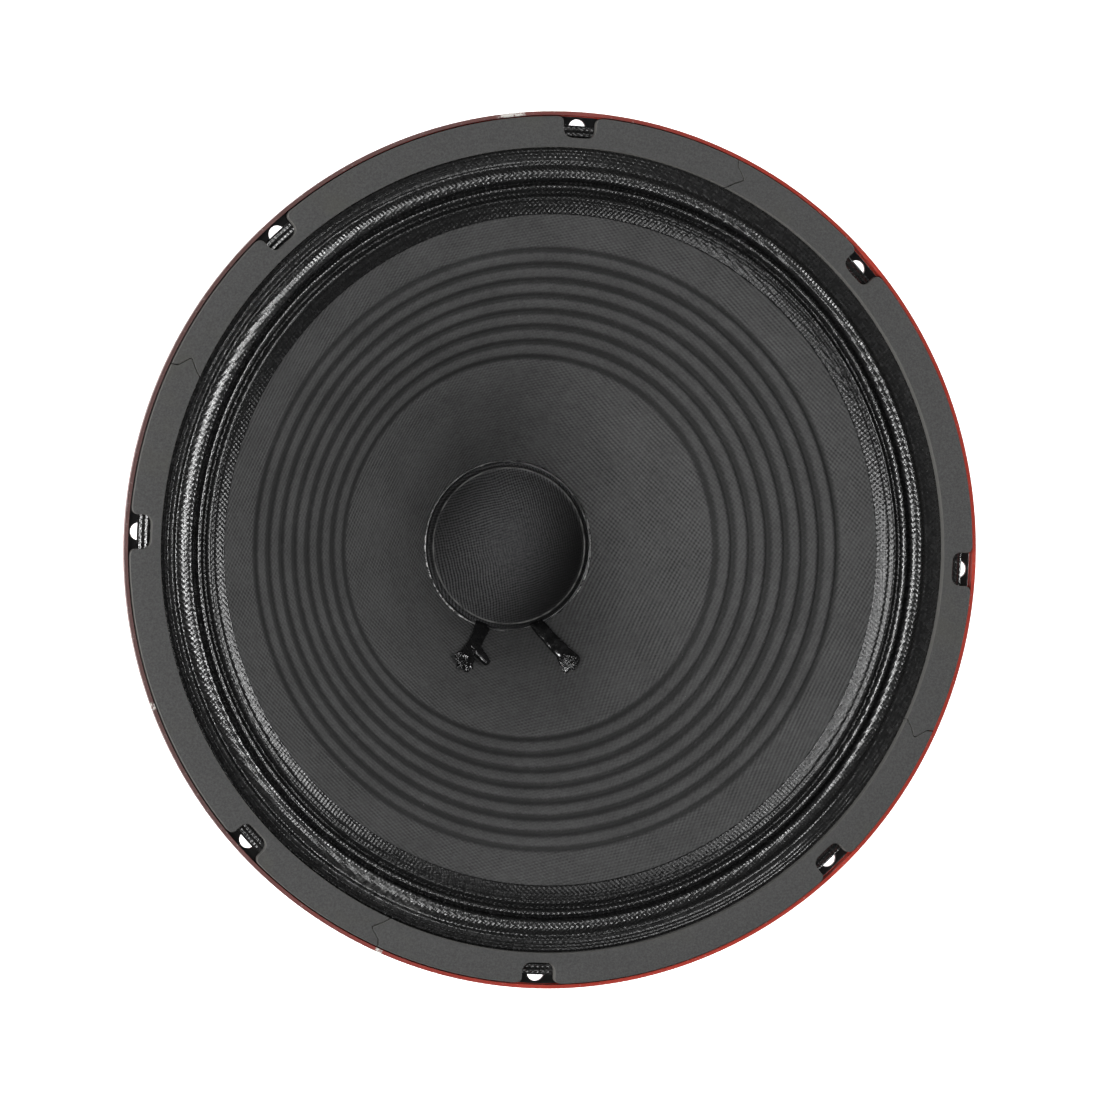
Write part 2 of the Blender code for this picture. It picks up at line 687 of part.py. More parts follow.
def make_tinsel_leads(collection, material):
    """Slack leads from the eyelets behind the cone to the inner heads of the terminal rivets."""
    for index, eyelet in enumerate(eyelet_places()):
        start = eyelet @ Vector((0.0, 0.0, -PAPER - 3 * GAP - 0.0008 - TINSEL_RADIUS))
        terminal = min(tab_rivet_places(), key=lambda matrix: abs(matrix.translation.x - start.x))
        end = terminal @ Vector((0.0, 0.0, -GAP - RIVET_HEAD_HEIGHT - TINSEL_RADIUS))
        points = slack_path(start, end, 0.0120)
        wire("tinsel_lead_%d" % (index + 1), points, TINSEL_RADIUS, collection, material)


def slack_path(start, end, sag, count=12):
    """A hanging curve between two points, lowest in its middle."""
    points = []
    for step in range(count):
        share = step / (count - 1)
        point = start.lerp(end, share)
        point.z -= sag * 4 * share * (1 - share)
        points.append(point)
    return points


# ---------------------------------------------------------------- assembly
def build():
    clear_scene()
    driver = new_collection("loudspeaker_driver")
    cutters = new_collection("cutters")
    red_paint = new_material("red_paint", (0.42, 0.035, 0.025), 0.35)
    fibre = new_material("gasket_fibre", (0.075, 0.075, 0.075), 0.85)
    doped_cloth = new_material("doped_cloth", (0.012, 0.012, 0.012), 0.3)
    paper = new_material("cone_paper", (0.055, 0.055, 0.055), 0.9)
    cap_cloth = new_material("cap_cloth", (0.03, 0.03, 0.03), 0.85)
    former_paper = new_material("former_paper", (0.45, 0.25, 0.08), 0.5)
    copper = new_material("copper", (0.72, 0.30, 0.14), 0.35, 1.0)
    spider_cloth = new_material("spider_cloth", (0.50, 0.33, 0.10), 0.8)
    steel = new_material("zinc_steel", (0.55, 0.53, 0.48), 0.35, 1.0)
    ferrite = new_material("ferrite", (0.04, 0.04, 0.042), 0.55)
    phenolic = new_material("phenolic", (0.16, 0.07, 0.03), 0.5)
    tinned = new_material("tinned_brass", (0.72, 0.66, 0.50), 0.3, 1.0)

    make_basket(driver, cutters, red_paint)
    make_gasket(driver, fibre)
    make_surround(driver, doped_cloth)
    make_cone(driver, cutters, paper)
    make_dust_cap(driver, cap_cloth)
    make_voice_coil(driver, former_paper, copper)
    make_spider(driver, spider_cloth)
    make_motor(driver, cutters, steel, ferrite)
    make_plate_screws(driver, steel)
    make_cone_leads(driver, tinned, doped_cloth)
    make_terminals(driver, cutters, phenolic, tinned)
    make_tinsel_leads(driver, copper)


build()
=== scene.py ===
"""Looks of a twelve-inch loudspeaker driver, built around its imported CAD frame.

Lengths are in metres, in the frame's own axes: +Z runs out of the front of the cone and the
terminals are on the -Y side. Round pieces are drawn as grids of points: one row for each point of
a profile, given as (radius, height), and one column for each step around the axis.
"""
import math

import bmesh
import bpy
import numpy as np
from mathutils import Matrix, Vector, noise


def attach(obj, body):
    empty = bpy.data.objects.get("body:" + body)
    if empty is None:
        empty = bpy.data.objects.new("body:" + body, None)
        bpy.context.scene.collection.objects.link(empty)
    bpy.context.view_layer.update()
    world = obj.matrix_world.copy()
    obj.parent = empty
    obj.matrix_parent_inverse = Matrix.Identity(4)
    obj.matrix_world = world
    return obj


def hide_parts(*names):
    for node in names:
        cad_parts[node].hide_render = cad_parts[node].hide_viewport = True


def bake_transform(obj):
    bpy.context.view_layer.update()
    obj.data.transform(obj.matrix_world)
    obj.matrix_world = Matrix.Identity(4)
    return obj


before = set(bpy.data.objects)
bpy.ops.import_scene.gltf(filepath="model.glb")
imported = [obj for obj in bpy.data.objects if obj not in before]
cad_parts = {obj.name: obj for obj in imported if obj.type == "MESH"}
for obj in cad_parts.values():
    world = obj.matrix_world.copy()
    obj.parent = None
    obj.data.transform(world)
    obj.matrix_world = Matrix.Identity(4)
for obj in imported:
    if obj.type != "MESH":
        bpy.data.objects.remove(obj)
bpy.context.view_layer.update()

MM = 0.001
FULL_TURN = 2.0 * math.pi
FIXED = "basket_assembly"
MOVING = "cone_assembly"



# ---------------------------------------------------------------- sizes read from the frame
def vertices_of(mesh):
    points = np.zeros(len(mesh.vertices) * 3)
    mesh.vertices.foreach_get("co", points)
    return points.reshape(-1, 3)


def polar(points):
    """Distance from the axis, and direction around it."""
    return np.hypot(points[..., 0], points[..., 1]), np.arctan2(points[..., 1], points[..., 0])


def reach(node):
    """Smallest and largest radius, lowest and highest height of a CAD node."""
    points = vertices_of(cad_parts[node].data)
    radii, heights = polar(points)[0], points[:, 2]
    return radii.min(), radii.max(), heights.min(), heights.max()


def height_near(node, radius, pick=max):
    """Highest (or lowest) point of a CAD node at one radius."""
    points = vertices_of(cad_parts[node].data)
    near = np.abs(polar(points)[0] - radius) < 0.05 * MM
    return float(pick(points[near][:, 2]))


_, RIM_RADIUS, BASE_REAR, RIM_TOP = reach("basket")
_, SURROUND_OUTER, _, _ = reach("surround")
GASKET_INNER, GASKET_OUTER, GASKET_BOTTOM, GASKET_TOP = reach("gasket_segment_1")
NECK_RADIUS, CONE_RADIUS, _, CONE_TOP = reach("cone")
NECK_HEIGHT = height_near("cone", NECK_RADIUS)
FORMER_INNER, FORMER_OUTER, FORMER_BOTTOM, FORMER_TOP = reach("coil_former")
SPIDER_INNER, SPIDER_OUTER, _, _ = reach("spider")
SPIDER_EDGE = height_near("spider", SPIDER_OUTER, min)
_, CAP_RADIUS, _, CAP_TOP = reach("dust_cap")

# ---------------------------------------------------------------- details smaller than the CAD
SHEET = 1.3 * MM                      # basket sheet
FLANGE_TOP = 131.0 * MM
BOLT_COUNT = 8
BOLT_CIRCLE = 149.3 * MM
BOLT_HOLE = 3.1 * MM
CLOTH = 0.5 * MM
CLOTH_TOP = FLANGE_TOP + 0.3 * MM + CLOTH   # the cloth lies 0.3 mm above the flange, in glue
CONE_FLARE = 415.6 * MM
PAPER = 0.9 * MM
RIB_FIRST = 68.7 * MM
RIB_PITCH = 5.414 * MM
RIB_COUNT = 7
ROUND = 360                           # columns around the axis on the large smooth pieces
BEAD_RADIUS = 30.9 * MM               # bead of glue around the cap
CAP_RIDGE = 28.5 * MM                 # where the cap's dome turns down into its rim
LEDGE_RINGS = (137.1 * MM, 139.1 * MM, 140.3 * MM, 141.4 * MM)
LEDGE_RING_HALF = 0.55 * MM
LEDGE_RING_TURN = 200                 # direction in degrees where the rings are deepest
SEAM_ANGLE = 245.4                    # where the surround's cloth is lapped and glued


def flare_centre():
    """Centre of the arc that the cone's wall follows."""
    neck, edge = Vector((NECK_RADIUS, NECK_HEIGHT)), Vector((CONE_RADIUS, CONE_TOP))
    half_chord = (edge - neck) / 2
    away = Vector((half_chord.y, -half_chord.x)).normalized()
    return neck + half_chord + away * math.sqrt(CONE_FLARE ** 2 - half_chord.length_squared)


FLARE_CENTRE = flare_centre()


def cone_height(radius):
    """Front of the cone without its ribs."""
    return FLARE_CENTRE.y + np.sqrt(CONE_FLARE ** 2 - (radius - FLARE_CENTRE.x) ** 2)


def rib_height(radius):
    """Seven broad round ribs with a narrow groove on each side of every rib."""
    share = (radius - RIB_FIRST) / RIB_PITCH
    across = np.abs(2 * (share - np.floor(share)) - 1)
    ribs = np.where((share > 0) & (share < RIB_COUNT), 0.75 * MM * (1 - across ** 2.2), 0.0)
    grooves = RIB_FIRST + RIB_PITCH * np.arange(RIB_COUNT + 1)
    dips = np.exp(-((np.asarray(radius)[..., None] - grooves) / (0.8 * MM)) ** 2).sum(-1)
    return ribs - 0.6 * MM * dips


# ---------------------------------------------------------------- mesh helpers
def add_object(name, data):
    obj = bpy.data.objects.new(name, data)
    bpy.context.scene.collection.objects.link(obj)
    return obj


def smooth_object(name, mesh, sharp_angle=40):
    mesh.shade_smooth()
    mesh.set_sharp_from_angle(angle=math.radians(sharp_angle))
    return add_object(name, mesh)


def mesh_from(name, points, faces):
    mesh = bpy.data.meshes.new(name)
    mesh.from_pydata(points.tolist(), [], faces)
    return mesh


def edited(mesh, *steps):
    """Run bmesh steps on a mesh, and turn its faces outwards."""
    builder = bmesh.new()
    builder.from_mesh(mesh)
    for step in steps:
        step(builder)
    bmesh.ops.recalc_face_normals(builder, faces=builder.faces)
    builder.to_mesh(mesh)
    builder.free()
    return mesh


def quads_of(index):
    """Corners of the faces between neighbours in a grid whose columns close on themselves."""
    right = np.roll(index, -1, axis=1)
    return np.stack([index[:-1], index[1:], right[1:], right[:-1]], -1).reshape(-1, 4)


def grid_mesh(name, grid, ring):
    """A mesh from points[row, column]: a ring joins its last row to its first, a solid gets a
    pole on the axis of each end row."""
    rows, columns = grid.shape[:2]
    index = np.arange(rows * columns).reshape(rows, columns)
    points = grid.reshape(-1, 3)
    if ring:
        return mesh_from(name, points, quads_of(np.vstack([index, index[:1]])).tolist())
    faces, right = quads_of(index).tolist(), np.roll(index, -1, axis=1)
    faces += [[len(points), a, b] for a, b in zip(index[0], right[0])]
    faces += [[len(points) + 1, b, a] for a, b in zip(index[-1], right[-1])]
    return mesh_from(name, np.vstack([points, grid[0].mean(0), grid[-1].mean(0)]), faces)


def grid_object(name, grid, sharp_angle, ring=False):
    return smooth_object(name, edited(grid_mesh(name, grid, ring)), sharp_angle)


def angles(columns):
    return np.linspace(0.0, FULL_TURN, columns, endpoint=False)


def turned(radius, turn, height):
    return np.stack(np.broadcast_arrays(radius * np.cos(turn), radius * np.sin(turn), height), -1)


def turned_grid(profile, columns):
    """Points of a profile of (radius, height) pairs turned about the axis."""
    profile = np.asarray(profile, float)
    return turned(profile[:, :1], angles(columns), profile[:, 1:])


def sheet_grid(front, thickness, columns, step=2):
    """A turned sheet: its front profile, and back along its rear with every step-th point."""
    rear = (front - side_normals(front) * thickness)[::-step]
    return turned_grid(np.vstack([front, rear]), columns)


def fillet(corners, radii, steps=5):
    """A polyline of (radius, height) corners with rounded corners."""
    corners = [Vector(corner) for corner in corners]
    points = [tuple(corners[0])]
    for before, corner, after, size in zip(corners, corners[1:], corners[2:], radii[1:]):
        if size <= 0:
            points.append(tuple(corner))
            continue
        back, on = (before - corner).normalized(), (after - corner).normalized()
        reach_back = size / math.tan(back.angle(on) / 2)
        start, end = corner + back * reach_back, corner + on * reach_back
        for share in (step / steps for step in range(steps + 1)):
            points.append(tuple(start.lerp(corner, share).lerp(corner.lerp(end, share), share)))
    return points + [tuple(corners[-1])]


def run_length(path):
    """Distance from the start of a path to each of its points."""
    return np.r_[0, np.cumsum(np.linalg.norm(np.diff(path, axis=0), axis=1))]


def curve_through(points, spacing):
    """Points of a smooth curve through control points, spaced evenly along it."""
    control = np.asarray(points, float)
    padded = np.vstack([2 * control[0] - control[1], control, 2 * control[-1] - control[-2]])
    share = np.linspace(0, 1, 24, endpoint=False)[:, None]
    pieces = [0.5 * (2 * b + (c - a) * share + (2 * a - 5 * b + 4 * c - d) * share ** 2
                     + (3 * b - a - 3 * c + d) * share ** 3)
              for a, b, c, d in zip(padded, padded[1:], padded[2:], padded[3:])]
    dense = np.vstack(pieces + [control[-1:]])
    length = run_length(dense)
    even = np.linspace(0, length[-1], max(2, int(round(length[-1] / spacing)) + 1))
    return np.stack([np.interp(even, length, column) for column in dense.T], -1)


def unit(vectors):
    return vectors / np.linalg.norm(vectors, axis=-1, keepdims=True)


def side_normals(profile):
    """Unit normals of a profile, to the left of its direction."""
    along = unit(np.gradient(profile, axis=0))
    return np.stack([-along[:, 1], along[:, 0]], -1)


def ramp(value, start, end):
    """0 at start, 1 at end, straight in between."""
    return np.clip((value - start) / (end - start), 0, 1)


def ease(share):
    return share * share * (3 - 2 * share)


def noise_field(points, scale, seed, depth=3):
    """Smooth noise at each point, about -1 to 1, the same on every run."""
    shift = Vector((seed * 7.31, seed * 3.17, seed * 1.93))
    values = [noise.fractal(Vector(point) * scale + shift, 0.9, 2.1, depth)
              for point in points.reshape(-1, 3)]
    return np.array(values).reshape(points.shape[:-1])


def tube_grid(path, radius, sides):
    """Rings of points around a path."""
    along = unit(np.gradient(path, axis=0))
    guide = np.array([1.0, 0.0, 0.0] if abs(along[0][2]) > 0.9 else [0.0, 0.0, 1.0])
    across = []
    for direction in along:
        guide = unit(guide - direction * (guide @ direction))
        across.append(guide)
    across = np.array(across)
    turn = angles(sides)[:, None]
    ring = across[:, None] * np.cos(turn) + np.cross(along, across)[:, None] * np.sin(turn)
    return path[:, None] + ring * radius


def settle(obj):
    """Turn an object's modifiers or curve into its mesh."""
    bpy.context.view_layer.update()
    return bpy.data.meshes.new_from_object(obj.evaluated_get(bpy.context.evaluated_depsgraph_get()))


def cut_plate(name, outline, thickness, edge):
    """A flat plate in the XY plane with rounded edges."""
    curve = bpy.data.curves.new(name, "CURVE")
    curve.dimensions = "2D"
    curve.fill_mode = "BOTH"
    curve.extrude = thickness / 2 - edge
    curve.bevel_depth = edge
    curve.bevel_resolution = 2
    curve.offset = -edge
    spline = curve.splines.new("POLY")
    spline.points.add(len(outline) - 1)
    for point, (x, y) in zip(spline.points, outline):
        point.co = (x, y, 0.0, 1.0)
    spline.use_cyclic_u = True
    guide = add_object(name + "_outline", curve)
    mesh = settle(guide)
    bpy.data.objects.remove(guide, do_unlink=True)
    edited(mesh, lambda builder: bmesh.ops.remove_doubles(builder, verts=builder.verts, dist=0.002 * MM))
    return smooth_object(name, mesh, 35)


def dress(obj, material, slot, body, *nodes):
    """Give a piece its material, let it ride on a body, and let it stand for CAD nodes. The slot argument is
    not used.
    """
    obj.data.materials.clear()
    obj.data.materials.append(material)
    if nodes:
        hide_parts(*nodes)
    if body:
        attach(obj, body)
    return obj


def stretch_between(obj, fixed_radius, moving_radius):
    """Bake a soft ring's placement into its mesh, and weigh its points from one radius to the other, between
    the basket and the cone; nothing uses the weights.
    """
    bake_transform(obj)
    weights = ease(ramp(polar(vertices_of(obj.data))[0], fixed_radius, moving_radius))


# ---------------------------------------------------------------- materials
RED = (0.32, 0.034, 0.022)
# painted shade colour for the rim's left side
RIM_SHADE = (0.075, 0.052, 0.05)
BARE_STEEL = (0.52, 0.50, 0.47)
DOPE = (0.0035, 0.0035, 0.0037)
DOPE_WORN = (0.014, 0.014, 0.014)
SEAM_GREY = (0.040, 0.040, 0.039)
FIBRE = (0.047, 0.047, 0.0465)
# painted highlight colour for the gasket's cut edges
FIBRE_EDGE_HIGHLIGHT = (0.10, 0.098, 0.092)
SMUDGE = (0.056, 0.055, 0.045)
PULP = (0.046, 0.046, 0.046)
SPECK = (0.16, 0.16, 0.155)
# painted glint colour for the glue bead
BEAD_GLINT = (0.6, 0.6, 0.59)
CAP_BLACK = (0.043, 0.043, 0.044)
AMBER = (0.46, 0.27, 0.07)
AMBER_DARK = (0.20, 0.10, 0.02)
ZINC = (0.60, 0.59, 0.57)
ZINC_STRAW = (0.58, 0.54, 0.44)
FERRITE = (0.035, 0.035, 0.037)
COPPER = (0.78, 0.36, 0.19)
COPPER_BROWN = (0.42, 0.17, 0.08)
KRAFT = (0.30, 0.15, 0.05)
LAMINATE = (0.15, 0.065, 0.028)
TIN = (0.76, 0.73, 0.66)
TIN_DULL = (0.52, 0.49, 0.42)
FLOOR_WHITE = (0.86, 0.86, 0.86)
FLOOR_GLOW, FLOOR_BOUNCE = 0.9, 0.3    # as the camera sees it, and as it lights the driver
AMBIENT = 0.08                        # light that comes from all around
CLOTH_TURN = 2.9                      # degrees that the surround's yarns lie off the X axis
CAP_SHEEN_TURN, CAP_SHEEN_SHIFT = 152.9, 7 * MM   # a painted sheen band crosses the cap this far off its middle, with painted shade away from it
CAP_YARNS = ((15.0, 1.0 * MM, 220.0), (109.0, 0.95 * MM, 135.0))   # direction, pitch, clearest at
RIM_CHIPS = ((99.2, 2.2), (203.0, 0.6), (248.0, 0.6))   # direction and half width, in degrees


def shade(colour, factor):
    return tuple(factor * value for value in colour)


def plug(socket, value):
    """Link a field to a node's input, or write a plain value or colour into it."""
    if isinstance(value, Field):
        socket.id_data.links.new(value.socket, socket)
    else:
        socket.default_value = (*value, 1.0) if socket.type == "RGBA" else value


def new_node(tree, kind, inputs=(), **settings):
    """A node with its settings, and with inputs given by name or by position."""
    node = tree.nodes.new(kind)
    for key, value in settings.items():
        setattr(node, key, value)
    for key, value in dict(inputs).items():
        plug(node.inputs[key], value)
    return node


class Field:
    """A value that varies over a surface; arithmetic on it adds nodes to its material."""

    def __init__(self, socket):
        self.socket = socket

    def node(self, kind, output, inputs, **settings):
        return Field(new_node(self.socket.id_data, kind, inputs, **settings).outputs[output])

    def apply(self, operation, *others):
        return self.node("ShaderNodeMath", 0, enumerate((self, *others)), operation=operation)

    def __add__(self, other):
        return self.apply("ADD", other)

    def __sub__(self, other):
        return self.apply("SUBTRACT", other)

    def __mul__(self, other):
        return self.apply("MULTIPLY", other)

    def __abs__(self):
        return self.apply("ABSOLUTE")

    __radd__ = __add__

    def remap(self, low, high, to_low=0.0, to_high=1.0):
        """A smooth step between two values as the field goes from low to high."""
        inputs = enumerate((self, low, high, to_low, to_high))
        return self.node("ShaderNodeMapRange", 0, inputs, interpolation_type="SMOOTHSTEP")

    def mix(self, a, b):
        """From one colour to another as the field goes from 0 to 1."""
        return self.node("ShaderNodeMix", 2, {0: self, 6: a, 7: b}, data_type="RGBA")

    def shades(self, colour, dark, light):
        return self.mix(shade(colour, dark), shade(colour, light))

    def wave(self, pitch):
        """A sine of a length, -1 to 1, that repeats every pitch."""
        return (self * (FULL_TURN / pitch)).apply("SINE")


class Finish:
    """A Principled material whose inputs are built up from fields."""

    def __init__(self, name, colour, roughness, metallic=0.0, specular=0.5):
        self.material = bpy.data.materials.new(name)
        self.material.use_nodes = True
        self.tree = self.material.node_tree
        self.shader = self.tree.nodes["Principled BSDF"]
        self.paint(colour)
        self.rough(roughness)
        self.set("Metallic", metallic)
        self.set("Specular IOR Level", specular)
        self.place = self.read("ShaderNodeTexCoord", "Object")
        self.x, self.y, self.z = (self.read("ShaderNodeSeparateXYZ", axis, Vector=self.place)
                                  for axis in "XYZ")
        self.radius = (self.x * self.x + self.y * self.y).apply("SQRT")
        self.angle = self.y.apply("ARCTAN2", self.x)

    def read(self, kind, output, **inputs):
        return Field(new_node(self.tree, kind, inputs).outputs[output])

    def set(self, name, value):
        plug(self.shader.inputs[name], value)

    def paint(self, colour):
        self.set("Base Color", colour)

    def rough(self, value):
        self.set("Roughness", value)

    def bump(self, height, distance):
        """Raise the surface; each call adds to the one before."""
        inputs = {"Height": height, "Distance": distance, "Strength": 1.0}
        earlier = self.shader.inputs["Normal"]
        if earlier.is_linked:
            inputs["Normal"] = Field(earlier.links[0].from_socket)
        self.set("Normal", self.read("ShaderNodeBump", "Normal", **inputs))
        return self

    def noise(self, size, detail=2.0, roughness=0.5, vector=None):
        """Smooth noise, 0 to 1, whose lumps are about one size across."""
        return self.read("ShaderNodeTexNoise", "Fac", Vector=vector or self.place, Scale=1.0 / size,
                         Detail=detail, Roughness=roughness)

    def streaks(self, size, around):
        """Noise drawn out around the axis: fine across, and `around` lumps to a radian."""
        vector = self.read("ShaderNodeCombineXYZ", 0, X=self.radius * (1 / size), Y=self.angle * around,
                           Z=self.z * (1 / size))
        return self.noise(1.0, 3.0, 0.6, vector)

    def near(self, degrees, half_width):
        """1 around a direction, fading to 0 at half_width degrees from it."""
        turn = (self.angle - math.radians(degrees)).apply("COSINE")
        return turn.remap(math.cos(math.radians(half_width)), math.cos(math.radians(half_width * 0.5)))

    def along(self, degrees):
        """Distance along a direction, seen along Z."""
        turn = math.radians(degrees)
        return self.x * math.cos(turn) + self.y * math.sin(turn)

    def weave(self, pitch, degrees=0.0, wander=0.0):
        """Height of a plain weave seen along Z: raised yarn crossings, 0 to 1."""
        drift = self.noise(25 * MM, 0.0) * wander
        warp, weft = ((self.along(turn) + drift).wave(pitch) for turn in (degrees, degrees + 90))
        return warp * weft * 0.5 + 0.5

    def yarns(self, degrees, pitch, strongest, swing=0.5, drift=0.0):
        """Parallel ridges across a direction, clearest in two opposite sectors."""
        twice = (self.angle - math.radians(strongest)) * 2.0
        return (self.along(degrees) + drift).wave(pitch) * (twice.apply("COSINE") * swing + (1 - swing))


def red_paint():
    """Semi-gloss red, chipped on the rim, with painted shade on the rim's left side; the flange under the
    gasket is black with dope.
    """
    finish = Finish("red_paint", RED, 0.3)
    radius, height = finish.radius, finish.z
    blotches = finish.noise(9 * MM, 3.0)
    on_rim = radius.remap(153.3 * MM, 153.5 * MM) * height.remap(131.5 * MM, 133.2 * MM)
    bare = finish.noise(0.9 * MM, 4.0, 0.7).remap(0.63, 0.66) * 0.35
    chips = finish.noise(1.4 * MM, 3.0, 0.7).remap(0.44, 0.52)
    for chip in RIM_CHIPS:
        bare = bare.apply("MAXIMUM", finish.near(*chip) * chips)
    bare = bare * on_rim
    doped = height.remap(130.2 * MM, 130.6 * MM) * radius.remap(153.1 * MM, 153.3 * MM, 1.0, 0.0)
    # painted shade: the rim's left side, a broad sector, is painted darker and browner
    shaded_side = finish.near(165, 105) * on_rim * 0.9
    paint = shaded_side.mix(blotches.shades(RED, 0.86, 1.1), RIM_SHADE)
    finish.paint(doped.mix(bare.mix(paint, BARE_STEEL), DOPE))
    finish.rough(blotches * 0.12 + 0.24)
    finish.bump(finish.noise(1.6 * MM), 0.012 * MM)
    finish.bump(doped * finish.noise(2.2 * MM, 3.0), 0.12 * MM)
    return finish.bump(bare * -1.0, 0.05 * MM).material


def gasket_fibre():
    """Dark grey pressed board: felted fibres, a few smudges, and a painted highlight on its cut edges."""
    finish = Finish("gasket_fibre", FIBRE, 0.82, specular=0.2)
    fibres = finish.noise(0.7 * MM, 4.0, 0.8)
    smudges = finish.noise(26 * MM, 3.0, 0.6).remap(0.54, 0.72) * 0.35
    board = smudges.mix(fibres.remap(0.3, 0.7).shades(FIBRE, 0.72, 1.28), SMUDGE)
    # painted highlight: faces that do not face the front, the cut edges, are painted paler
    normal = finish.read("ShaderNodeNewGeometry", "Normal")
    lit_cut_edge = finish.read("ShaderNodeSeparateXYZ", "Z", Vector=normal).remap(0.5, 0.9, 1.0, 0.0)
    finish.paint(lit_cut_edge.mix(board, FIBRE_EDGE_HIGHLIGHT))
    finish.bump(finish.noise(3.5 * MM), 0.03 * MM)
    return finish.bump(fibres, 0.06 * MM).material


def doped_cloth():
    """Square-woven cloth soaked in black dope: glossy yarn tops, duller where it soaked in."""
    finish = Finish("doped_cloth", DOPE, 0.25)
    radius = finish.radius
    finish.set("Specular IOR Level", radius.remap(126 * MM, 128 * MM, 0.42, 1.0))
    weave = finish.weave(1.9 * MM, CLOTH_TURN, 0.9 * MM)
    fine = finish.noise(0.5 * MM, 3.0, 0.65)
    seam = (finish.near(SEAM_ANGLE, 9) * radius.remap(130.5 * MM, 131.5 * MM)
            * radius.remap(136 * MM, 140 * MM, 1.0, 0.0)
            * finish.noise(2.5 * MM, 3.0).remap(0.35, 0.6) * weave.remap(0.3, 0.75, 0.3, 1.0))
    finish.paint(seam.mix(fine.remap(0.35, 0.8).mix(DOPE, DOPE_WORN), SEAM_GREY))
    finish.rough(finish.noise(2.2 * MM, 3.0, 0.6).remap(0.3, 0.7, 0.2, 0.32) + seam * 0.25)
    skirt = radius.remap(124 * MM, 127 * MM, 0.7, 1.0)
    ledge = radius.remap(135.5 * MM, 137 * MM)
    rings = sum(abs(radius - ring).remap(0.0, LEDGE_RING_HALF, 1.0, 0.0) for ring in LEDGE_RINGS)
    finish.bump(rings * finish.near(LEDGE_RING_TURN, 150), 0.2 * MM)
    finish.bump(weave * (ledge * -0.55 + skirt), 0.17 * MM)
    finish.bump(finish.streaks(0.5 * MM, 55.0), 0.07 * MM)
    return finish.bump(fine * (ledge * -0.7 + 1.0), 0.06 * MM).material


def cone_paper():
    """Black paper pulp with the forming screen's imprint, fuzzier on the ribs, with painted shade in the
    grooves.
    """
    finish = Finish("cone_paper", PULP, 0.8, specular=0.12)
    pulp = finish.noise(0.7 * MM, 4.0, 0.75)
    patches = finish.noise(2.4 * MM, 2.0, 0.6) + finish.noise(18 * MM, 3.0, 0.55)
    share = (finish.radius - RIB_FIRST) * (1 / RIB_PITCH)
    on_ribs = share.remap(-0.3, 0.0) * share.remap(RIB_COUNT, RIB_COUNT + 0.3, 1.0, 0.0)
    # painted shade: the rib grooves are painted darker
    groove = abs(share.apply("FRACT") - 0.5).remap(0.14, 0.43) * on_ribs
    screen = (finish.yarns(47.9, 1.13 * MM, 38) + finish.yarns(-24.1, 1.13 * MM, -22)
              + finish.yarns(-75, 1.0 * MM, 93) * 0.5)
    screen = screen * (on_ribs * -0.6 + 1.0) * finish.noise(6 * MM).remap(0.3, 0.6, 0.45, 1.1)
    tone = pulp * 0.6 + patches * 0.3 + screen * 0.19 + groove * -0.42
    specks = finish.noise(0.8 * MM, 1.0).remap(0.8, 0.84) * 0.6
    finish.paint(specks.mix(tone.remap(0.1, 1.1).shades(PULP, 0.36, 1.64), SPECK))
    finish.bump(screen, 0.06 * MM)
    return finish.bump(pulp, 0.16 * MM).material


def cap_cloth():
    """Black plain weave with lint: its yarns show clearest where the dome turns away, by sectors. A painted
    sheen band crosses the dome, painted shade darkens the dome away from that band, and a painted highlight
    runs along the ridge.
    """
    finish = Finish("cap_cloth", CAP_BLACK, 0.8, specular=0.12)
    drift = finish.noise(9 * MM, 1.0) * (1.6 * MM)
    weave = sum(finish.yarns(*family, 0.4, drift) for family in CAP_YARNS)
    weave = weave * finish.radius.remap(4 * MM, 19 * MM, 0.3, 1.0)
    lint = finish.noise(1.0 * MM, 4.0, 0.8)
    cloth = (weave * 0.28 + lint).remap(0.05, 0.95).shades(CAP_BLACK, 0.2, 1.8)
    # painted shade: the dome is painted darker the farther it lies from the painted sheen band
    off_sheen = abs(finish.along(CAP_SHEEN_TURN) - CAP_SHEEN_SHIFT)
    cloth = off_sheen.remap(2 * MM, 33 * MM, 0.0, 0.95).mix(cloth, shade(CAP_BLACK, 0.1))
    # painted highlight: a pale line along the cap's ridge
    ridge = abs(finish.radius - CAP_RIDGE).remap(0.12 * MM, 0.4 * MM, 1.0, 0.0)
    ridge_highlight = ridge * finish.noise(5 * MM, 4.0).remap(0.3, 0.7, 0.1, 0.8)
    finish.paint(ridge_highlight.mix(cloth, SPECK))
    finish.bump(weave, 0.06 * MM)
    return finish.bump(lint, 0.22 * MM).material


def black_dope(name, lump_size, lump_height, roughness):
    """Thick glossy black dope that dried in lumps and runs."""
    finish = Finish(name, DOPE, roughness, specular=0.7)
    lumps = finish.noise(lump_size)
    finish.paint(lumps.remap(0.55, 0.9).mix(DOPE, DOPE_WORN))
    finish.rough(finish.noise(2.5 * MM).remap(0.3, 0.7, 0.6, 1.4) * roughness)
    return finish.bump(lumps, lump_height).material


def cap_glue():
    """The same dope in a bead, with painted glints as pale flecks on its outer edge at two sides."""
    finish = Finish("cap_glue", DOPE, 0.3, specular=0.8)
    outer = finish.radius.remap(BEAD_RADIUS, BEAD_RADIUS + 0.3 * MM)
    # painted glints: pale flecks on the bead's outer edge at two sides
    sides = finish.near(212, 42).apply("MAXIMUM", finish.near(-8, 36))
    painted_glints = finish.noise(1.5 * MM, 3.0, 0.7).remap(0.44, 0.54)
    finish.paint((outer * painted_glints * (sides * 0.85 + 0.1)).mix(DOPE, BEAD_GLINT))
    return finish.bump(finish.noise(1.2 * MM), 0.2 * MM).material


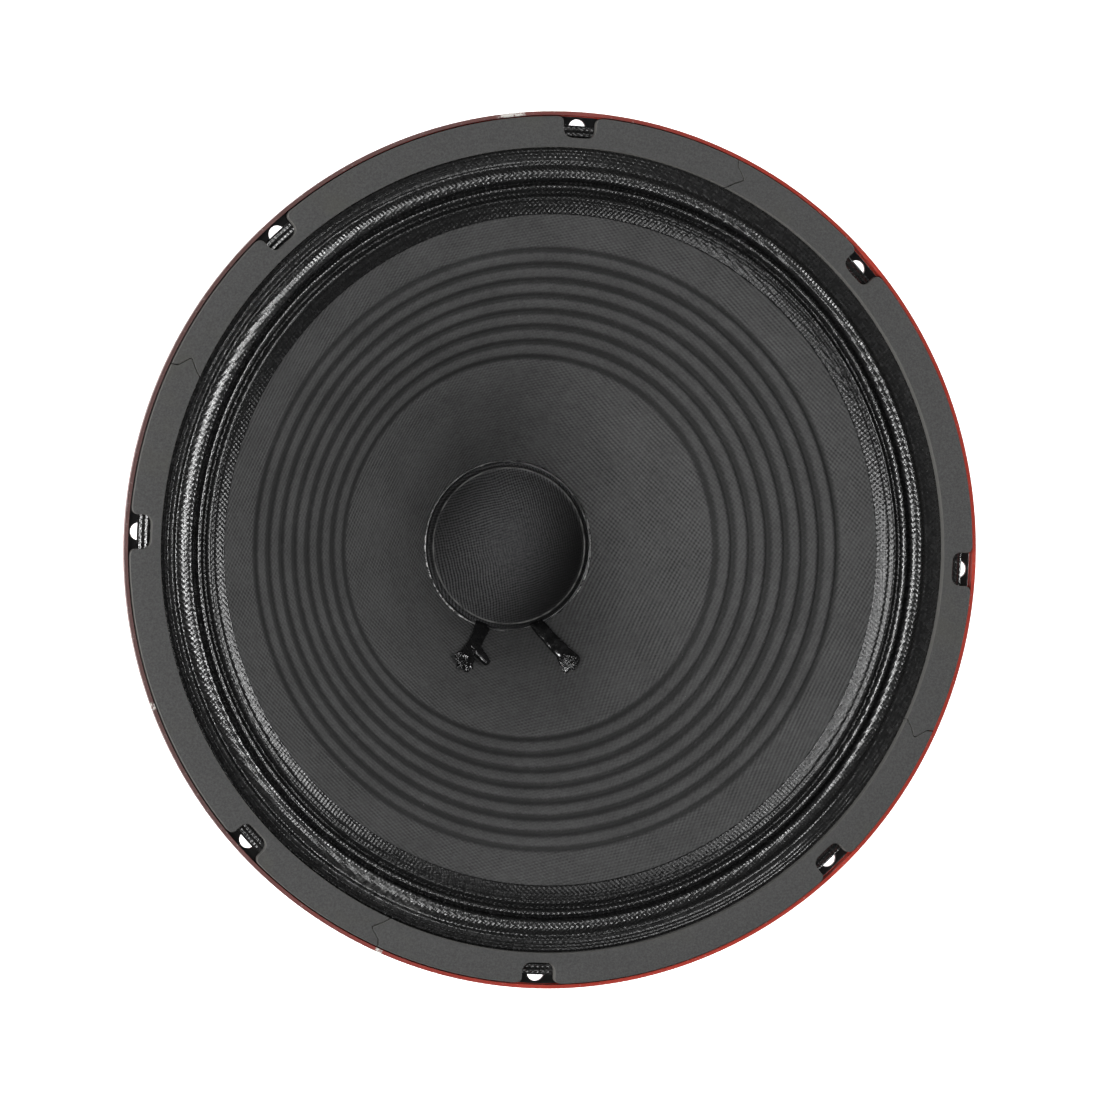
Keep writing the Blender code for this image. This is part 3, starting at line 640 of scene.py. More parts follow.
def spider_cloth():
    """Open amber cloth, stiff with resin that gathered darker in its valleys."""
    finish = Finish("spider_cloth", AMBER, 0.55)
    weave = finish.weave(1.5 * MM, 0.0, 1.0 * MM)
    resin = finish.noise(6 * MM, 3.0, 0.6)
    finish.paint((weave * 0.6 + resin * 0.5).remap(0.2, 0.9).mix(AMBER_DARK, AMBER))
    finish.rough(resin.remap(0.3, 0.7, 0.4, 0.65))
    return finish.bump(weave, 0.22 * MM).material


def zinc_steel():
    """Turned steel under thin clear zinc: fine rings, and a faint straw and blue tint."""
    finish = Finish("zinc_steel", ZINC, 0.3, 1.0)
    finish.paint(finish.noise(14 * MM, 3.0).remap(0.35, 0.65).mix(ZINC_STRAW, ZINC))
    finish.rough(finish.noise(4 * MM, 4.0, 0.7).remap(0.58, 0.75) * 0.25 + 0.27)
    finish.bump(finish.radius.wave(0.42 * MM), 0.008 * MM)
    return finish.bump(finish.noise(0.7 * MM, 3.0), 0.012 * MM).material


def ferrite():
    """Dark grey ceramic: ground on its faces, as fired on its side, with small pores and nicks."""
    finish = Finish("ferrite", FERRITE, 0.55)
    grain = finish.noise(0.5 * MM, 4.0, 0.7)
    pores = finish.noise(1.8 * MM, 3.0, 0.75).remap(0.66, 0.72)
    finish.paint(grain.remap(0.3, 0.7).shades(FERRITE, 0.75, 1.3))
    finish.rough(finish.noise(12 * MM).remap(0.3, 0.7, 0.45, 0.62))
    finish.bump(pores * -1.0, 0.12 * MM)
    return finish.bump(grain, 0.03 * MM).material


def copper():
    """Enamelled and bare copper, a little browned."""
    finish = Finish("copper", COPPER, 0.32, 1.0)
    finish.paint(finish.noise(2.2 * MM, 3.0, 0.6).remap(0.35, 0.7).mix(COPPER_BROWN, COPPER))
    return finish.bump(finish.noise(0.3 * MM), 0.01 * MM).material


def former_paper():
    """Brown resin-soaked paper, wound, with faint wrap lines."""
    finish = Finish("former_paper", KRAFT, 0.5)
    wraps = (finish.z + finish.angle * (1.2 * MM)).wave(7.54 * MM)
    tone = finish.noise(1.2 * MM, 4.0, 0.6) + wraps * 0.06
    finish.paint(tone.remap(0.3, 0.7).shades(KRAFT, 0.7, 1.2))
    return finish.bump(tone, 0.03 * MM).material


def phenolic():
    """Brown paper laminate with a faint cloth grain and a resin shine."""
    finish = Finish("phenolic", LAMINATE, 0.38)
    grain = finish.weave(0.8 * MM)
    tone = grain * 0.25 + finish.noise(5 * MM, 4.0, 0.6)
    finish.paint(tone.remap(0.35, 0.85).shades(LAMINATE, 0.7, 1.35))
    finish.rough(finish.noise(3 * MM, 3.0).remap(0.3, 0.7, 0.3, 0.5))
    return finish.bump(grain, 0.012 * MM).material


def tinned_brass():
    """Satin tin over brass, dulled in patches and finely scratched."""
    finish = Finish("tinned_brass", TIN, 0.3, 1.0)
    dull = finish.noise(2.0 * MM, 4.0, 0.7)
    finish.paint(dull.remap(0.35, 0.7).mix(TIN_DULL, TIN))
    finish.rough(dull.remap(0.3, 0.7, 0.24, 0.46))
    return finish.bump(finish.noise(0.35 * MM, 3.0, 0.7), 0.015 * MM).material


def floor_paper():
    """Seamless white paper that only its front shows, with hardly visible fibre."""
    finish = Finish("floor_paper", FLOOR_WHITE, 0.9)
    finish.paint(finish.noise(4 * MM, 3.0).shades(FLOOR_WHITE, 0.985, 1.0))
    finish.set("Emission Color", (1.0, 1.0, 1.0))
    finish.set("Alpha", finish.read("ShaderNodeNewGeometry", "Backfacing") * -1.0 + 1.0)
    seen = finish.read("ShaderNodeLightPath", "Is Camera Ray")
    finish.set("Emission Strength", seen.remap(0.0, 1.0, FLOOR_BOUNCE, FLOOR_GLOW))
    return finish.bump(finish.noise(1.5 * MM, 3.0), 0.02 * MM).material


# ---------------------------------------------------------------- basket
WINDOW_INNER, WINDOW_OUTER = 78 * MM, 122 * MM
LEG_HALF_INNER, LEG_HALF_OUTER = 11.5 * MM, 15 * MM
WINDOW_CORNER = 6 * MM
LEG_COUNT = 8
LEG_TOP, LEG_FOOT = (129 * MM, 103.5 * MM), (68 * MM, 52 * MM)
SHELF_TOP = SPIDER_EDGE - 0.3 * MM
BASE_TOP = BASE_REAR + SHEET
CHANNEL_DEPTH = 2.0 * MM              # groove pressed along the middle of each leg
CURL_HEIGHT, CURL_WIDTH = 1.8 * MM, 4.0 * MM   # window edges turned towards the front


def basket_front():
    """Front side of the sheet, from the rim's top to the base's bore."""
    rim_inside = RIM_RADIUS - SHEET
    corners = [(rim_inside, RIM_TOP), (rim_inside, FLANGE_TOP), (137.2 * MM, FLANGE_TOP),
               (131 * MM, 108 * MM), LEG_TOP, LEG_FOOT, (64.5 * MM, SHELF_TOP), (53 * MM, SHELF_TOP),
               (50.5 * MM, BASE_TOP), (28.5 * MM, BASE_TOP)]
    return fillet(corners, [size * MM for size in (0, 0.9, 3.0, 2.0, 2.0, 4.0, 2.0, 1.6, 1.6, 0)])


def subdivided(points, spacing, kept_radii=()):
    """A polyline with no step longer than spacing and a point at each kept radius."""
    result = [np.asarray(points[0])]
    for start, end in zip(points, points[1:]):
        start, end = np.asarray(start), np.asarray(end)
        shares = [(radius - start[0]) / (end[0] - start[0]) for radius in kept_radii
                  if (radius - start[0]) * (radius - end[0]) < 0]
        stops = [start] + [start + (end - start) * share for share in sorted(shares)] + [end]
        for a, b in zip(stops, stops[1:]):
            count = max(1, math.ceil(np.linalg.norm(b - a) / spacing))
            result += [a + (b - a) * (step + 1) / count for step in range(count)]
    return np.array(result)


def leg_half_width(radius):
    return LEG_HALF_INNER + (LEG_HALF_OUTER - LEG_HALF_INNER) * ramp(radius, WINDOW_INNER, WINDOW_OUTER)


def basket_columns(radius):
    """Angles around one circle of the basket: columns run along the edges of every leg."""
    across = 12                       # columns across half a leg, and across half a window
    held = np.clip(radius, WINDOW_INNER, WINDOW_OUTER)
    edge, half = math.asin(leg_half_width(held) / held), math.pi / LEG_COUNT
    first = np.concatenate([np.linspace(0, edge, across, endpoint=False),
                            np.linspace(edge, half, across, endpoint=False)])
    sector = np.concatenate([first, [half], 2 * half - first[:0:-1]])
    return np.concatenate([sector + 2 * half * leg for leg in range(LEG_COUNT)])


def leg_distance(x, y):
    """How far a point is, sideways, from the middle line of the nearest leg."""
    pitch = FULL_TURN / LEG_COUNT
    turn = (np.arctan2(y, x) + pitch / 2) % pitch - pitch / 2
    return np.abs(np.hypot(x, y) * np.sin(turn))


def window_depth(x, y):
    """How far inside a window a point lies, seen along Z; negative outside every window."""
    radius = np.hypot(x, y)
    from_arc = np.minimum(radius - WINDOW_INNER, WINDOW_OUTER - radius)
    from_leg = leg_distance(x, y) - leg_half_width(radius)
    rounded = WINDOW_CORNER - np.hypot(np.maximum(WINDOW_CORNER - from_arc, 0),
                                       np.maximum(WINDOW_CORNER - from_leg, 0))
    deep = np.minimum(from_arc, from_leg)
    return np.where(deep < WINDOW_CORNER, np.minimum(rounded, deep + WINDOW_CORNER), deep)


def snap_to_windows(points):
    """Slide points, seen along Z, onto the nearest window outline."""
    step = 0.01 * MM
    x, y = points.T
    for _ in range(4):
        depth = window_depth(x, y)
        slope_x = (window_depth(x + step, y) - depth) / step
        slope_y = (window_depth(x, y + step) - depth) / step
        steepness = np.maximum(slope_x ** 2 + slope_y ** 2, 0.2)
        x, y = x - depth * slope_x / steepness, y - depth * slope_y / steepness
    return np.stack([x, y], -1)


def pressed_height(x, y):
    """How far the press pushed the sheet to the front: window edges and the legs' channels."""
    radius = np.hypot(x, y)
    curl = CURL_HEIGHT * (1 - np.clip(-window_depth(x, y), 0, CURL_WIDTH) / CURL_WIDTH) ** 2
    across = ramp(leg_distance(x, y), 3.6 * MM, 1.8 * MM)
    ends = ramp(radius, 71 * MM, 77 * MM) * ramp(radius, 127 * MM, 121 * MM)
    return np.maximum(curl, CHANNEL_DEPTH * ease(across) * ease(ends))


def border_edges(faces):
    """Directed edges that only one face uses."""
    edges = {(a, b) for face in faces for a, b in zip(face, face[1:] + face[:1])}
    return [(a, b) for a, b in edges if (b, a) not in edges]


def basket_mesh():
    """The pressed sheet: a turned front side, windows left open, and a rear side behind it."""
    profile = subdivided(basket_front(), 2.3 * MM, (WINDOW_INNER, WINDOW_OUTER))
    turn = np.array([basket_columns(radius) for radius in profile[:, 0]])
    flat = turned(profile[:, :1], turn, 0.0)[..., :2].reshape(-1, 2)
    quads = quads_of(np.arange(turn.size).reshape(turn.shape))
    kept = quads[window_depth(*flat[quads].mean(1).T) <= 0].tolist()
    border = border_edges(kept)
    edge_points = np.array(sorted({point for edge in border for point in edge}))
    moved = edge_points[window_depth(*flat[edge_points].T) > -WINDOW_CORNER / 2]
    flat[moved] = snap_to_windows(flat[moved])
    normals = np.repeat(side_normals(profile), turn.shape[1], axis=0)
    heights = np.repeat(profile[:, 1], turn.shape[1])
    by_radius = profile[np.argsort(profile[:, 0])]
    heights[moved] = np.interp(np.hypot(*flat[moved].T), *by_radius.T)
    rear = np.column_stack([unit(flat) * normals[:, :1], normals[:, 1]])
    front = np.column_stack([flat, heights]) - rear * pressed_height(*flat.T)[:, None]
    return two_sided_sheet(front, front + rear * SHEET, kept, border)


def two_sided_sheet(front, rear, kept, border):
    """Faces on both sides of a sheet, and a wall along every open border."""
    count = len(front)
    faces = kept + [[corner + count for corner in face[::-1]] for face in kept]
    faces += [[b, a, a + count, b + count] for a, b in border]
    return edited(mesh_from("basket_sheet", np.vstack([front, rear]), faces),
                  lambda builder: bmesh.ops.delete(builder, context="VERTS", geom=[
                      vertex for vertex in builder.verts if not vertex.link_faces]))


def modify(obj, kind, **settings):
    """Add a modifier and turn it into the object's mesh."""
    modifier = obj.modifiers.new(kind, kind)
    for key, value in settings.items():
        setattr(modifier, key, value)
    mesh = settle(obj)
    obj.modifiers.clear()
    obj.data = mesh


def drill(obj, places, radius, length, sides=32):
    """Cut round holes; each place is a matrix whose Z axis runs along its hole."""
    def cylinders(builder):
        for place in places:
            bmesh.ops.create_cone(builder, cap_ends=True, segments=sides, radius1=radius,
                                  radius2=radius, depth=length, matrix=place)

    cutter = add_object("drill", edited(bpy.data.meshes.new("drill"), cylinders))
    modify(obj, "BOOLEAN", operation="DIFFERENCE", object=cutter)
    bpy.data.objects.remove(cutter, do_unlink=True)


def polar_place(radius, degrees, height):
    turn = math.radians(degrees)
    return Matrix.Translation((radius * math.cos(turn), radius * math.sin(turn), height))


def screw_places(height):
    return [polar_place(40 * MM, 45 + 90 * index, height) for index in range(4)]


def on_leg(offset, depth=0.0):
    """Matrix on the terminal leg's rear: X along the board, Y up the leg, Z out of the rear.

    offset goes along the board from the leg's middle, and depth out of the rear.
    """
    radius = 102 * MM
    rise, run = LEG_TOP[1] - LEG_FOOT[1], LEG_TOP[0] - LEG_FOOT[0]
    height = LEG_FOOT[1] + (radius - LEG_FOOT[0]) * rise / run
    turn = Matrix.Rotation(math.pi, 4, "Z") @ Matrix.Rotation(math.atan2(rise, run), 4, "X")
    return (Matrix.Translation((0, -radius, height)) @ turn @ Matrix.Rotation(math.pi, 4, "Y")
            @ Matrix.Translation((offset, 0.0, SHEET + depth)))


def make_basket(material):
    basket = smooth_object("pressed_basket", basket_mesh())
    bolts = [polar_place(BOLT_CIRCLE, 360 / BOLT_COUNT * index, FLANGE_TOP) for index in range(BOLT_COUNT)]
    drill(basket, bolts, BOLT_HOLE, 8 * MM, 40)
    drill(basket, screw_places(BASE_TOP), 2.5 * MM, 8 * MM)
    drill(basket, [on_leg(side * BOARD_RIVET) for side in (-1, 1)], 1.8 * MM, 8 * MM)
    modify(basket, "BEVEL", width=0.25 * MM, segments=2, limit_method="ANGLE",
           angle_limit=math.radians(50))
    basket.data.shade_smooth()
    basket.data.set_sharp_from_angle(angle=math.radians(40))
    dress(basket, material, "red_paint", FIXED, "basket")


# ---------------------------------------------------------------- gasket
GASKET_COUNT = 4
GASKET_FIRST_JOINT = 67.5
GASKET_GAP = 0.42 * MM
NOTCH_HALF = 6 * MM
NOTCH_DEPTH = 7.5 * MM
NOTCH_CORNER = 3.6 * MM
NOTCH_MOUTH = 2.5 * MM
JOINT_LINE = ((0, 0), (2.2, 0.7), (5.4, 5.0), (8.2, 2.0), (10.75, 0))     # mm in from the edge, clockwise


def turned_points(points, degrees):
    """Points given as (clockwise offset, radius) at a direction, as (x, y)."""
    turn = math.radians(degrees)
    return [(radius * math.cos(turn) + offset * math.sin(turn),
             radius * math.sin(turn) - offset * math.cos(turn)) for offset, radius in points]


def notch_outline(degrees):
    """One notch, from its clockwise side to its anticlockwise side."""
    floor = GASKET_OUTER - NOTCH_DEPTH
    mouth = NOTCH_HALF + NOTCH_MOUTH
    edge = math.sqrt(GASKET_OUTER ** 2 - mouth ** 2)
    half = fillet([(mouth, edge), (NOTCH_HALF, edge - 0.2 * MM), (NOTCH_HALF, floor), (0, floor)],
                  [0, 2.2 * MM, NOTCH_CORNER, 0], 6)[:-1]
    return turned_points(half + [(-offset, radius) for offset, radius in reversed(half)], degrees)


def joint_outline(degrees, shift):
    """The keyed joint from the outer to the inner edge, moved sideways by shift."""
    line = [(offset * MM + shift, GASKET_OUTER - depth * MM) for depth, offset in JOINT_LINE]
    return turned_points(fillet(line, [0, 1.2 * MM, 0.8 * MM, 1.2 * MM, 0], 6), degrees)


def arc_outline(radius, start, end):
    """Points strictly between two directions, about one degree apart."""
    count = max(2, math.ceil(abs(end - start)))
    return [turned_points([(0.0, radius)], start + (end - start) * step / count)[0]
            for step in range(1, count)]


def gasket_outline(start):
    """One quarter of the gasket, anticlockwise from its joint at a direction."""
    reach_of_notch = math.degrees((NOTCH_HALF + NOTCH_MOUTH) / GASKET_OUTER)
    outline = joint_outline(start, -GASKET_GAP / 2)[::-1]
    low = start
    for bolt in (start + 22.5, start + 67.5):
        outline += arc_outline(GASKET_OUTER, low, bolt - reach_of_notch) + notch_outline(bolt)
        low = bolt + reach_of_notch
    outline += arc_outline(GASKET_OUTER, low, start + 90) + joint_outline(start + 90, GASKET_GAP / 2)
    return outline + arc_outline(GASKET_INNER, start + 90, start)


def make_gasket(material):
    thickness = GASKET_TOP - GASKET_BOTTOM
    for index in range(GASKET_COUNT):
        outline = gasket_outline(GASKET_FIRST_JOINT + 90 * index)
        segment = cut_plate("fibre_gasket_%d" % (index + 1), outline, thickness, 0.28 * MM)
        segment.data.transform(Matrix.Translation((0, 0, GASKET_BOTTOM + thickness / 2)))
        dress(segment, material, "gasket_fibre", FIXED, "gasket_segment_%d" % (index + 1))


# ---------------------------------------------------------------- surround
# Front of the cloth as (radius, lift above the cone) in mm, then as (radius, height) in mm
SKIRT = ((118.7, 0.22), (119.0, 0.5), (119.8, 0.42), (121.0, 0.44), (121.8, 0.58), (122.4, 0.5),
         (123.0, 0.14), (123.5, 0.3))
ROLLS = ((124.0, 132.98), (124.5, 133.1), (125.0, 132.7), (125.5, 131.7), (126.1, 131.0), (126.7, 130.9),
         (127.1, 131.3), (127.5, 132.3), (127.9, 133.0), (128.3, 133.3), (128.7, 133.15), (129.0, 132.4),
         (129.3, 131.1), (129.7, 130.2), (130.1, 130.4), (130.5, 131.7), (130.9, 133.0), (131.4, 133.85),
         (132.0, 134.2), (132.8, 134.3), (133.8, 134.0), (134.7, 133.3), (135.5, 132.3), (136.1, 131.7),
         (136.6, 131.5), (137.4, 131.62))


def surround_front():
    """The cloth from the cone's edge, over its two rolls, to the edge under the gasket."""
    skirt = [(radius * MM, cone_height(radius * MM) + lift * MM) for radius, lift in SKIRT]
    rolls = [(radius * MM, height * MM) for radius, height in ROLLS]
    edge = [(140 * MM, CLOTH_TOP - 0.1 * MM), (143 * MM, CLOTH_TOP), (147 * MM, CLOTH_TOP),
            (SURROUND_OUTER, CLOTH_TOP)]
    return curve_through(skirt + rolls + edge, 0.36 * MM)


def ledge_ribs(radius, turn):
    """Fine rings pressed into the ledge, deepest on one side and nearly flat across from it."""
    height = 0.3 * MM * (0.75 + 0.6 * np.cos(turn - math.radians(LEDGE_RING_TURN)))
    fine = sum(np.cos(np.clip((radius - ring) / LEDGE_RING_HALF, -1, 1) * math.pi / 2) ** 2
               for ring in LEDGE_RINGS)
    covered = 0.26 * MM * np.sin(FULL_TURN * (radius - 144 * MM) / (2.0 * MM))
    return fine * height + ramp(radius, 143.5 * MM, 144.5 * MM) * covered


def lap_height(radius, turn):
    """Extra thickness where the cloth is lapped over itself and glued."""
    beside = ramp(np.abs(np.degrees(turn) % 360 - SEAM_ANGLE), 2.6, 2.1)
    return 0.3 * MM * beside * ramp(radius, 121 * MM, 122 * MM) * ramp(radius, 140 * MM, 138 * MM)


def make_surround(material):
    points = sheet_grid(surround_front(), CLOTH, ROUND)
    radius, turn = polar(points)
    loose = ramp(radius, 122 * MM, 126 * MM) * ramp(radius, 142 * MM, 138 * MM)
    sag = noise_field(points, 28.0, 1, 2) * 0.30 * MM
    lumps = noise_field(points, 260.0, 2, 2) * 0.07 * MM
    points[..., 2] += loose * (sag + lumps) + ledge_ribs(radius, turn) + lap_height(radius, turn)
    surround = grid_object("doped_surround", points, 60, ring=True)
    dress(surround, material, "doped_cloth", None, "surround")
    stretch_between(surround, 136 * MM, 124.6 * MM)


# ---------------------------------------------------------------- cone, cap and coil
def cone_front():
    """The cone's front from neck to edge, with closer points across its ribs."""
    start, end = RIB_FIRST - 2 * MM, RIB_FIRST + RIB_COUNT * RIB_PITCH + 2 * MM
    stops = ((NECK_RADIUS, start, 1.5 * MM), (start, end, 0.36 * MM), (end, CONE_RADIUS, 1.5 * MM))
    radii = np.concatenate([np.linspace(low, high, round((high - low) / step), endpoint=False)
                            for low, high, step in stops] + [[CONE_RADIUS]])
    return np.stack([radii, cone_height(radii) + rib_height(radii)], -1)


def make_cone(material):
    points = sheet_grid(cone_front(), PAPER, ROUND)
    points[..., 2] += noise_field(points, 22.0, 3, 2) * 0.08 * MM
    dress(grid_object("paper_cone", points, 60, ring=True), material, "cone_paper", MOVING, "cone")


def cap_front():
    """Middle of the dome to its rim: a sphere, a small ridge and a flat flange."""
    foot = cone_height(CAP_RADIUS) + 0.9 * MM
    ridge = foot + 1.6 * MM
    rise, span = CAP_TOP - ridge, CAP_RIDGE - 0.9 * MM
    sphere = (span ** 2 + rise ** 2) / (2 * rise)
    radii = np.linspace(0.4 * MM, span, 56)
    dome = np.stack([radii, CAP_TOP - sphere + np.sqrt(sphere ** 2 - radii ** 2)], -1)
    rim = curve_through([tuple(dome[-1]), (CAP_RIDGE - 0.4 * MM, ridge + 0.1 * MM),
                         (CAP_RIDGE, ridge + 0.32 * MM), (CAP_RIDGE + 0.45 * MM, ridge),
                         (CAP_RIDGE + 0.8 * MM, foot + 0.4 * MM), (CAP_RADIUS - 0.9 * MM, foot),
                         (CAP_RADIUS, foot - 0.2 * MM)], 0.2 * MM)
    return np.vstack([dome, rim[1:]])


def make_dust_cap(material):
    points = sheet_grid(cap_front(), 0.5 * MM, 240)
    points[..., 2] += noise_field(points, 60.0, 4, 2) * 0.10 * MM
    dress(grid_object("cloth_dust_cap", points, 60), material, "cap_cloth", MOVING, "dust_cap")


def make_glue_bead(material):
    """A bead of glue laid by hand around the cap, thicker and thinner along its way."""
    turn, around = angles(480), angles(14)
    path = turned(BEAD_RADIUS, turn, float(cone_height(BEAD_RADIUS)) + 0.45 * MM)
    uneven = 1 + 0.45 * noise_field(path, 170.0, 51) + 0.25 * noise_field(path, 30.0, 52, 2)
    thick = 0.62 * MM * uneven * (1 + 0.12 * noise_field(path, 500.0, 53))
    ring = turned(np.cos(around), turn[:, None], np.sin(around))
    bead = grid_object("cap_glue_bead", path[:, None] + ring * thick[:, None, None], 80, ring=True)
    dress(bead, material, "black_dope", MOVING)


def make_coil(paper, wire_finish):
    edge = 0.1 * MM
    profile = [(FORMER_OUTER, FORMER_TOP - edge), (FORMER_OUTER, FORMER_BOTTOM + edge),
               (FORMER_OUTER - edge, FORMER_BOTTOM), (FORMER_INNER + edge, FORMER_BOTTOM),
               (FORMER_INNER, FORMER_BOTTOM + edge), (FORMER_INNER, FORMER_TOP - edge),
               (FORMER_INNER + edge, FORMER_TOP), (FORMER_OUTER - edge, FORMER_TOP)]
    former = grid_object("wound_former", turned_grid(profile, 180), 40, ring=True)
    dress(former, paper, "former_paper", MOVING, "coil_former")
    inner, outer, bottom, top = reach("coil_winding")
    wire, steps = 0.39 * MM, 5
    turns = [(outer - wire * (0.5 - 0.5 * math.sin(math.pi * step / steps)),
              top - wire * (turn + step / steps))
             for turn in range(round((top - bottom) / wire)) for step in range(steps)]
    profile = turns + [(inner, bottom), (inner, top)]
    winding = grid_object("copper_winding", turned_grid(profile, 120), 80, ring=True)
    dress(winding, wire_finish, "copper", MOVING, "coil_winding")


# ---------------------------------------------------------------- spider
SPIDER_WAVES = 6
SPIDER_WAVE_HEIGHT = 1.25 * MM
SPIDER_CLOTH = 0.5 * MM
SPIDER_FLAT = 52.5 * MM               # where the waves end and the flat edge begins


def make_spider(material):
    """A corrugated cloth disc: a collar on the coil, six waves, and a flat edge on the shelf."""
    level = SPIDER_EDGE + SPIDER_CLOTH
    radii = np.arange(SPIDER_INNER + 1.6 * MM, SPIDER_OUTER, 0.3 * MM)
    share = ramp(radii, SPIDER_INNER + 3.5 * MM, SPIDER_FLAT)
    fade = np.clip(np.minimum(share, 1 - share) * 12, 0, 1)
    waves = SPIDER_WAVE_HEIGHT * fade * np.sin(FULL_TURN * SPIDER_WAVES * share)
    collar = [(SPIDER_INNER, level + 2.2 * MM), (SPIDER_INNER + 0.3 * MM, level + 0.8 * MM)]
    front = np.vstack([collar, np.stack([radii, level + waves], -1), [(SPIDER_OUTER, level)]])
    points = sheet_grid(front, SPIDER_CLOTH, 300, 1)
    points[..., 2] += noise_field(points, 90.0, 6, 2) * 0.05 * MM
    spider = grid_object("woven_spider", points, 60, ring=True)
    dress(spider, material, "spider_cloth", None, "spider")
    stretch_between(spider, SPIDER_FLAT, SPIDER_INNER + 3 * MM)


# ---------------------------------------------------------------- motor and screws
def disc_profile(inner, outer, bottom, top, edge):
    """A ring's outline with rounded edges, running down its outer side."""
    corners = [(outer - 3 * edge, top), (outer, top), (outer, bottom), (inner, bottom), (inner, top),
               (outer - 3 * edge, top)]
    return fillet(corners, [0, edge, edge, edge, edge, 0], 4)[:-1]


def make_motor(steel, ceramic):
    pole_start = 0.5 * MM             # the poles of the solid pieces close this small circle
    for node, name, material, slot, edge in (
            ("top_plate", "steel_top_plate", steel, "zinc_steel", 0.7 * MM),
            ("magnet", "ferrite_ring", ceramic, "ferrite", 1.0 * MM)):
        grid = turned_grid(disc_profile(*reach(node), edge), 240)
        dress(grid_object(name, grid, 30, ring=True), material, slot, FIXED, node)
    _, radius, bottom, top = reach("back_plate")
    plate = fillet([(pole_start, top), (radius, top), (radius, bottom), (9 * MM, bottom),
                    (7.5 * MM, bottom + 1.5 * MM), (pole_start, bottom + 1.5 * MM)],
                   [0, 0.7 * MM, 1.4 * MM, 0.3 * MM, 0.3 * MM, 0], 4)
    back = grid_object("steel_back_plate", turned_grid(plate, 240), 30)
    dress(back, steel, "zinc_steel", FIXED, "back_plate")
    _, radius, bottom, top = reach("pole_piece")
    pole = fillet([(pole_start, top), (radius, top), (radius, bottom), (pole_start, bottom)],
                  [0, 0.8 * MM, 0.3 * MM, 0], 4)
    dress(grid_object("steel_pole", turned_grid(pole, 160), 30), steel, "zinc_steel", FIXED, "pole_piece")


def make_screws(steel):
    """Pan heads with a hexagon socket."""
    head, rise, shank, socket, columns = 4.2 * MM, 2.6 * MM, 2.2 * MM, 1.5 * MM, 60
    outside = [(1.25 * socket, rise), (0.62 * head, rise), (0.88 * head, 0.86 * rise),
               (0.98 * head, 0.5 * rise), (head, 0.2 * rise), (0.97 * head, 0.0), (shank, 0.0),
               (shank, -5.4 * MM), (0.3 * MM, -5.7 * MM)]
    turn = angles(columns)
    hexagon = socket / np.cos((turn + math.pi / 6) % (math.pi / 3) - math.pi / 6)
    wall = [turned(size * hexagon, turn, rise * height)
            for size, height in ((0.08, 0.35), (0.96, 0.38), (1.0, 0.42), (1.0, 0.93), (1.07, 0.985))]
    grid = np.concatenate([np.array(wall), turned_grid(outside, columns)])
    for index, place in enumerate(screw_places(BASE_TOP + 0.05 * MM)):
        screw = grid_object("socket_screw_%d" % (index + 1), grid, 35)
        screw.data.transform(place @ Matrix.Rotation(0.4 + index, 4, "Z"))
        dress(screw, steel, "zinc_steel", FIXED, "plate_screw_%d" % (index + 1))


# ---------------------------------------------------------------- terminals
BOARD_SIZE = (46 * MM, 15 * MM, 1.6 * MM)
BOARD_BOTTOM = 0.3 * MM
BOARD_TOP = BOARD_BOTTOM + BOARD_SIZE[2]
BOARD_RIVET = 6.5 * MM
TAB_OFFSET = 18 * MM
TAB_THICK = 0.8 * MM
RIVET_SHANK, RIVET_HEAD, RIVET_RISE = 1.5 * MM, 2.7 * MM, 0.9 * MM


def make_rivet(name, front, back, place, material, slot, body, node):
    """A rolled rivet: a domed head at its back end and a curled eyelet at its front end."""
    head, rise, dent = RIVET_HEAD, RIVET_RISE, 0.55 * RIVET_SHANK
    corners = ((0.05 * MM, front - 0.6 * MM, 0), (dent, front - 0.5 * MM, 0.1),
               (dent + 0.2 * MM, front + 0.5 * rise, 0.2), (0.62 * head, front + rise, 0.4),
               (head, front + 0.35 * rise, 0.2), (head, front, 0.05), (RIVET_SHANK, front, 0),
               (RIVET_SHANK, back, 0), (head, back, 0.05), (head, back - 0.3 * rise, 0.2),
               (0.6 * head, back - rise, 0.4), (0.05 * MM, back - rise, 0))
    profile = fillet([corner[:2] for corner in corners], [corner[2] * MM for corner in corners], 3)
    rivet = grid_object(name, turned_grid(profile, 32), 50)
    rivet.data.transform(place)
    dress(rivet, material, slot, body, node)


def rounded_rectangle(width, height, radius):
    corners = [(width / 2 * a, height / 2 * b) for a, b in ((1, -1), (1, 1), (-1, 1), (-1, -1))]
    middle = [(0, -height / 2)]
    return fillet(middle + corners + middle, [0, radius, radius, radius, radius, 0], 5)[:-1]


def make_terminals(board_finish, tin):
    board = cut_plate("laminate_board", rounded_rectangle(*BOARD_SIZE[:2], 2.2 * MM), BOARD_SIZE[2],
                      0.15 * MM)
    board.data.transform(on_leg(0, BOARD_BOTTOM + BOARD_SIZE[2] / 2))
    holes = [on_leg(side * offset, BOARD_BOTTOM) for side in (-1, 1) for offset in (BOARD_RIVET, TAB_OFFSET)]
    drill(board, holes, RIVET_SHANK + 0.1 * MM, 8 * MM, 24)
    board.data.set_sharp_from_angle(angle=math.radians(35))
    dress(board, board_finish, "phenolic", FIXED, "terminal_board")
    for number, side in ((1, -1), (2, 1)):
        make_rivet("board_rivet_rolled_%d" % number, BOARD_TOP, -SHEET - 0.5 * MM,
                   on_leg(side * BOARD_RIVET), tin, "tinned_brass", FIXED, "board_rivet_%d" % number)
        make_rivet("terminal_rivet_rolled_%d" % number, BOARD_TOP + TAB_THICK, BOARD_BOTTOM,
                   on_leg(side * TAB_OFFSET), tin, "tinned_brass", FIXED, "terminal_rivet_%d" % number)
        make_tab("solder_tab_%d" % number, side, tin, "terminal_tab_%d" % number)


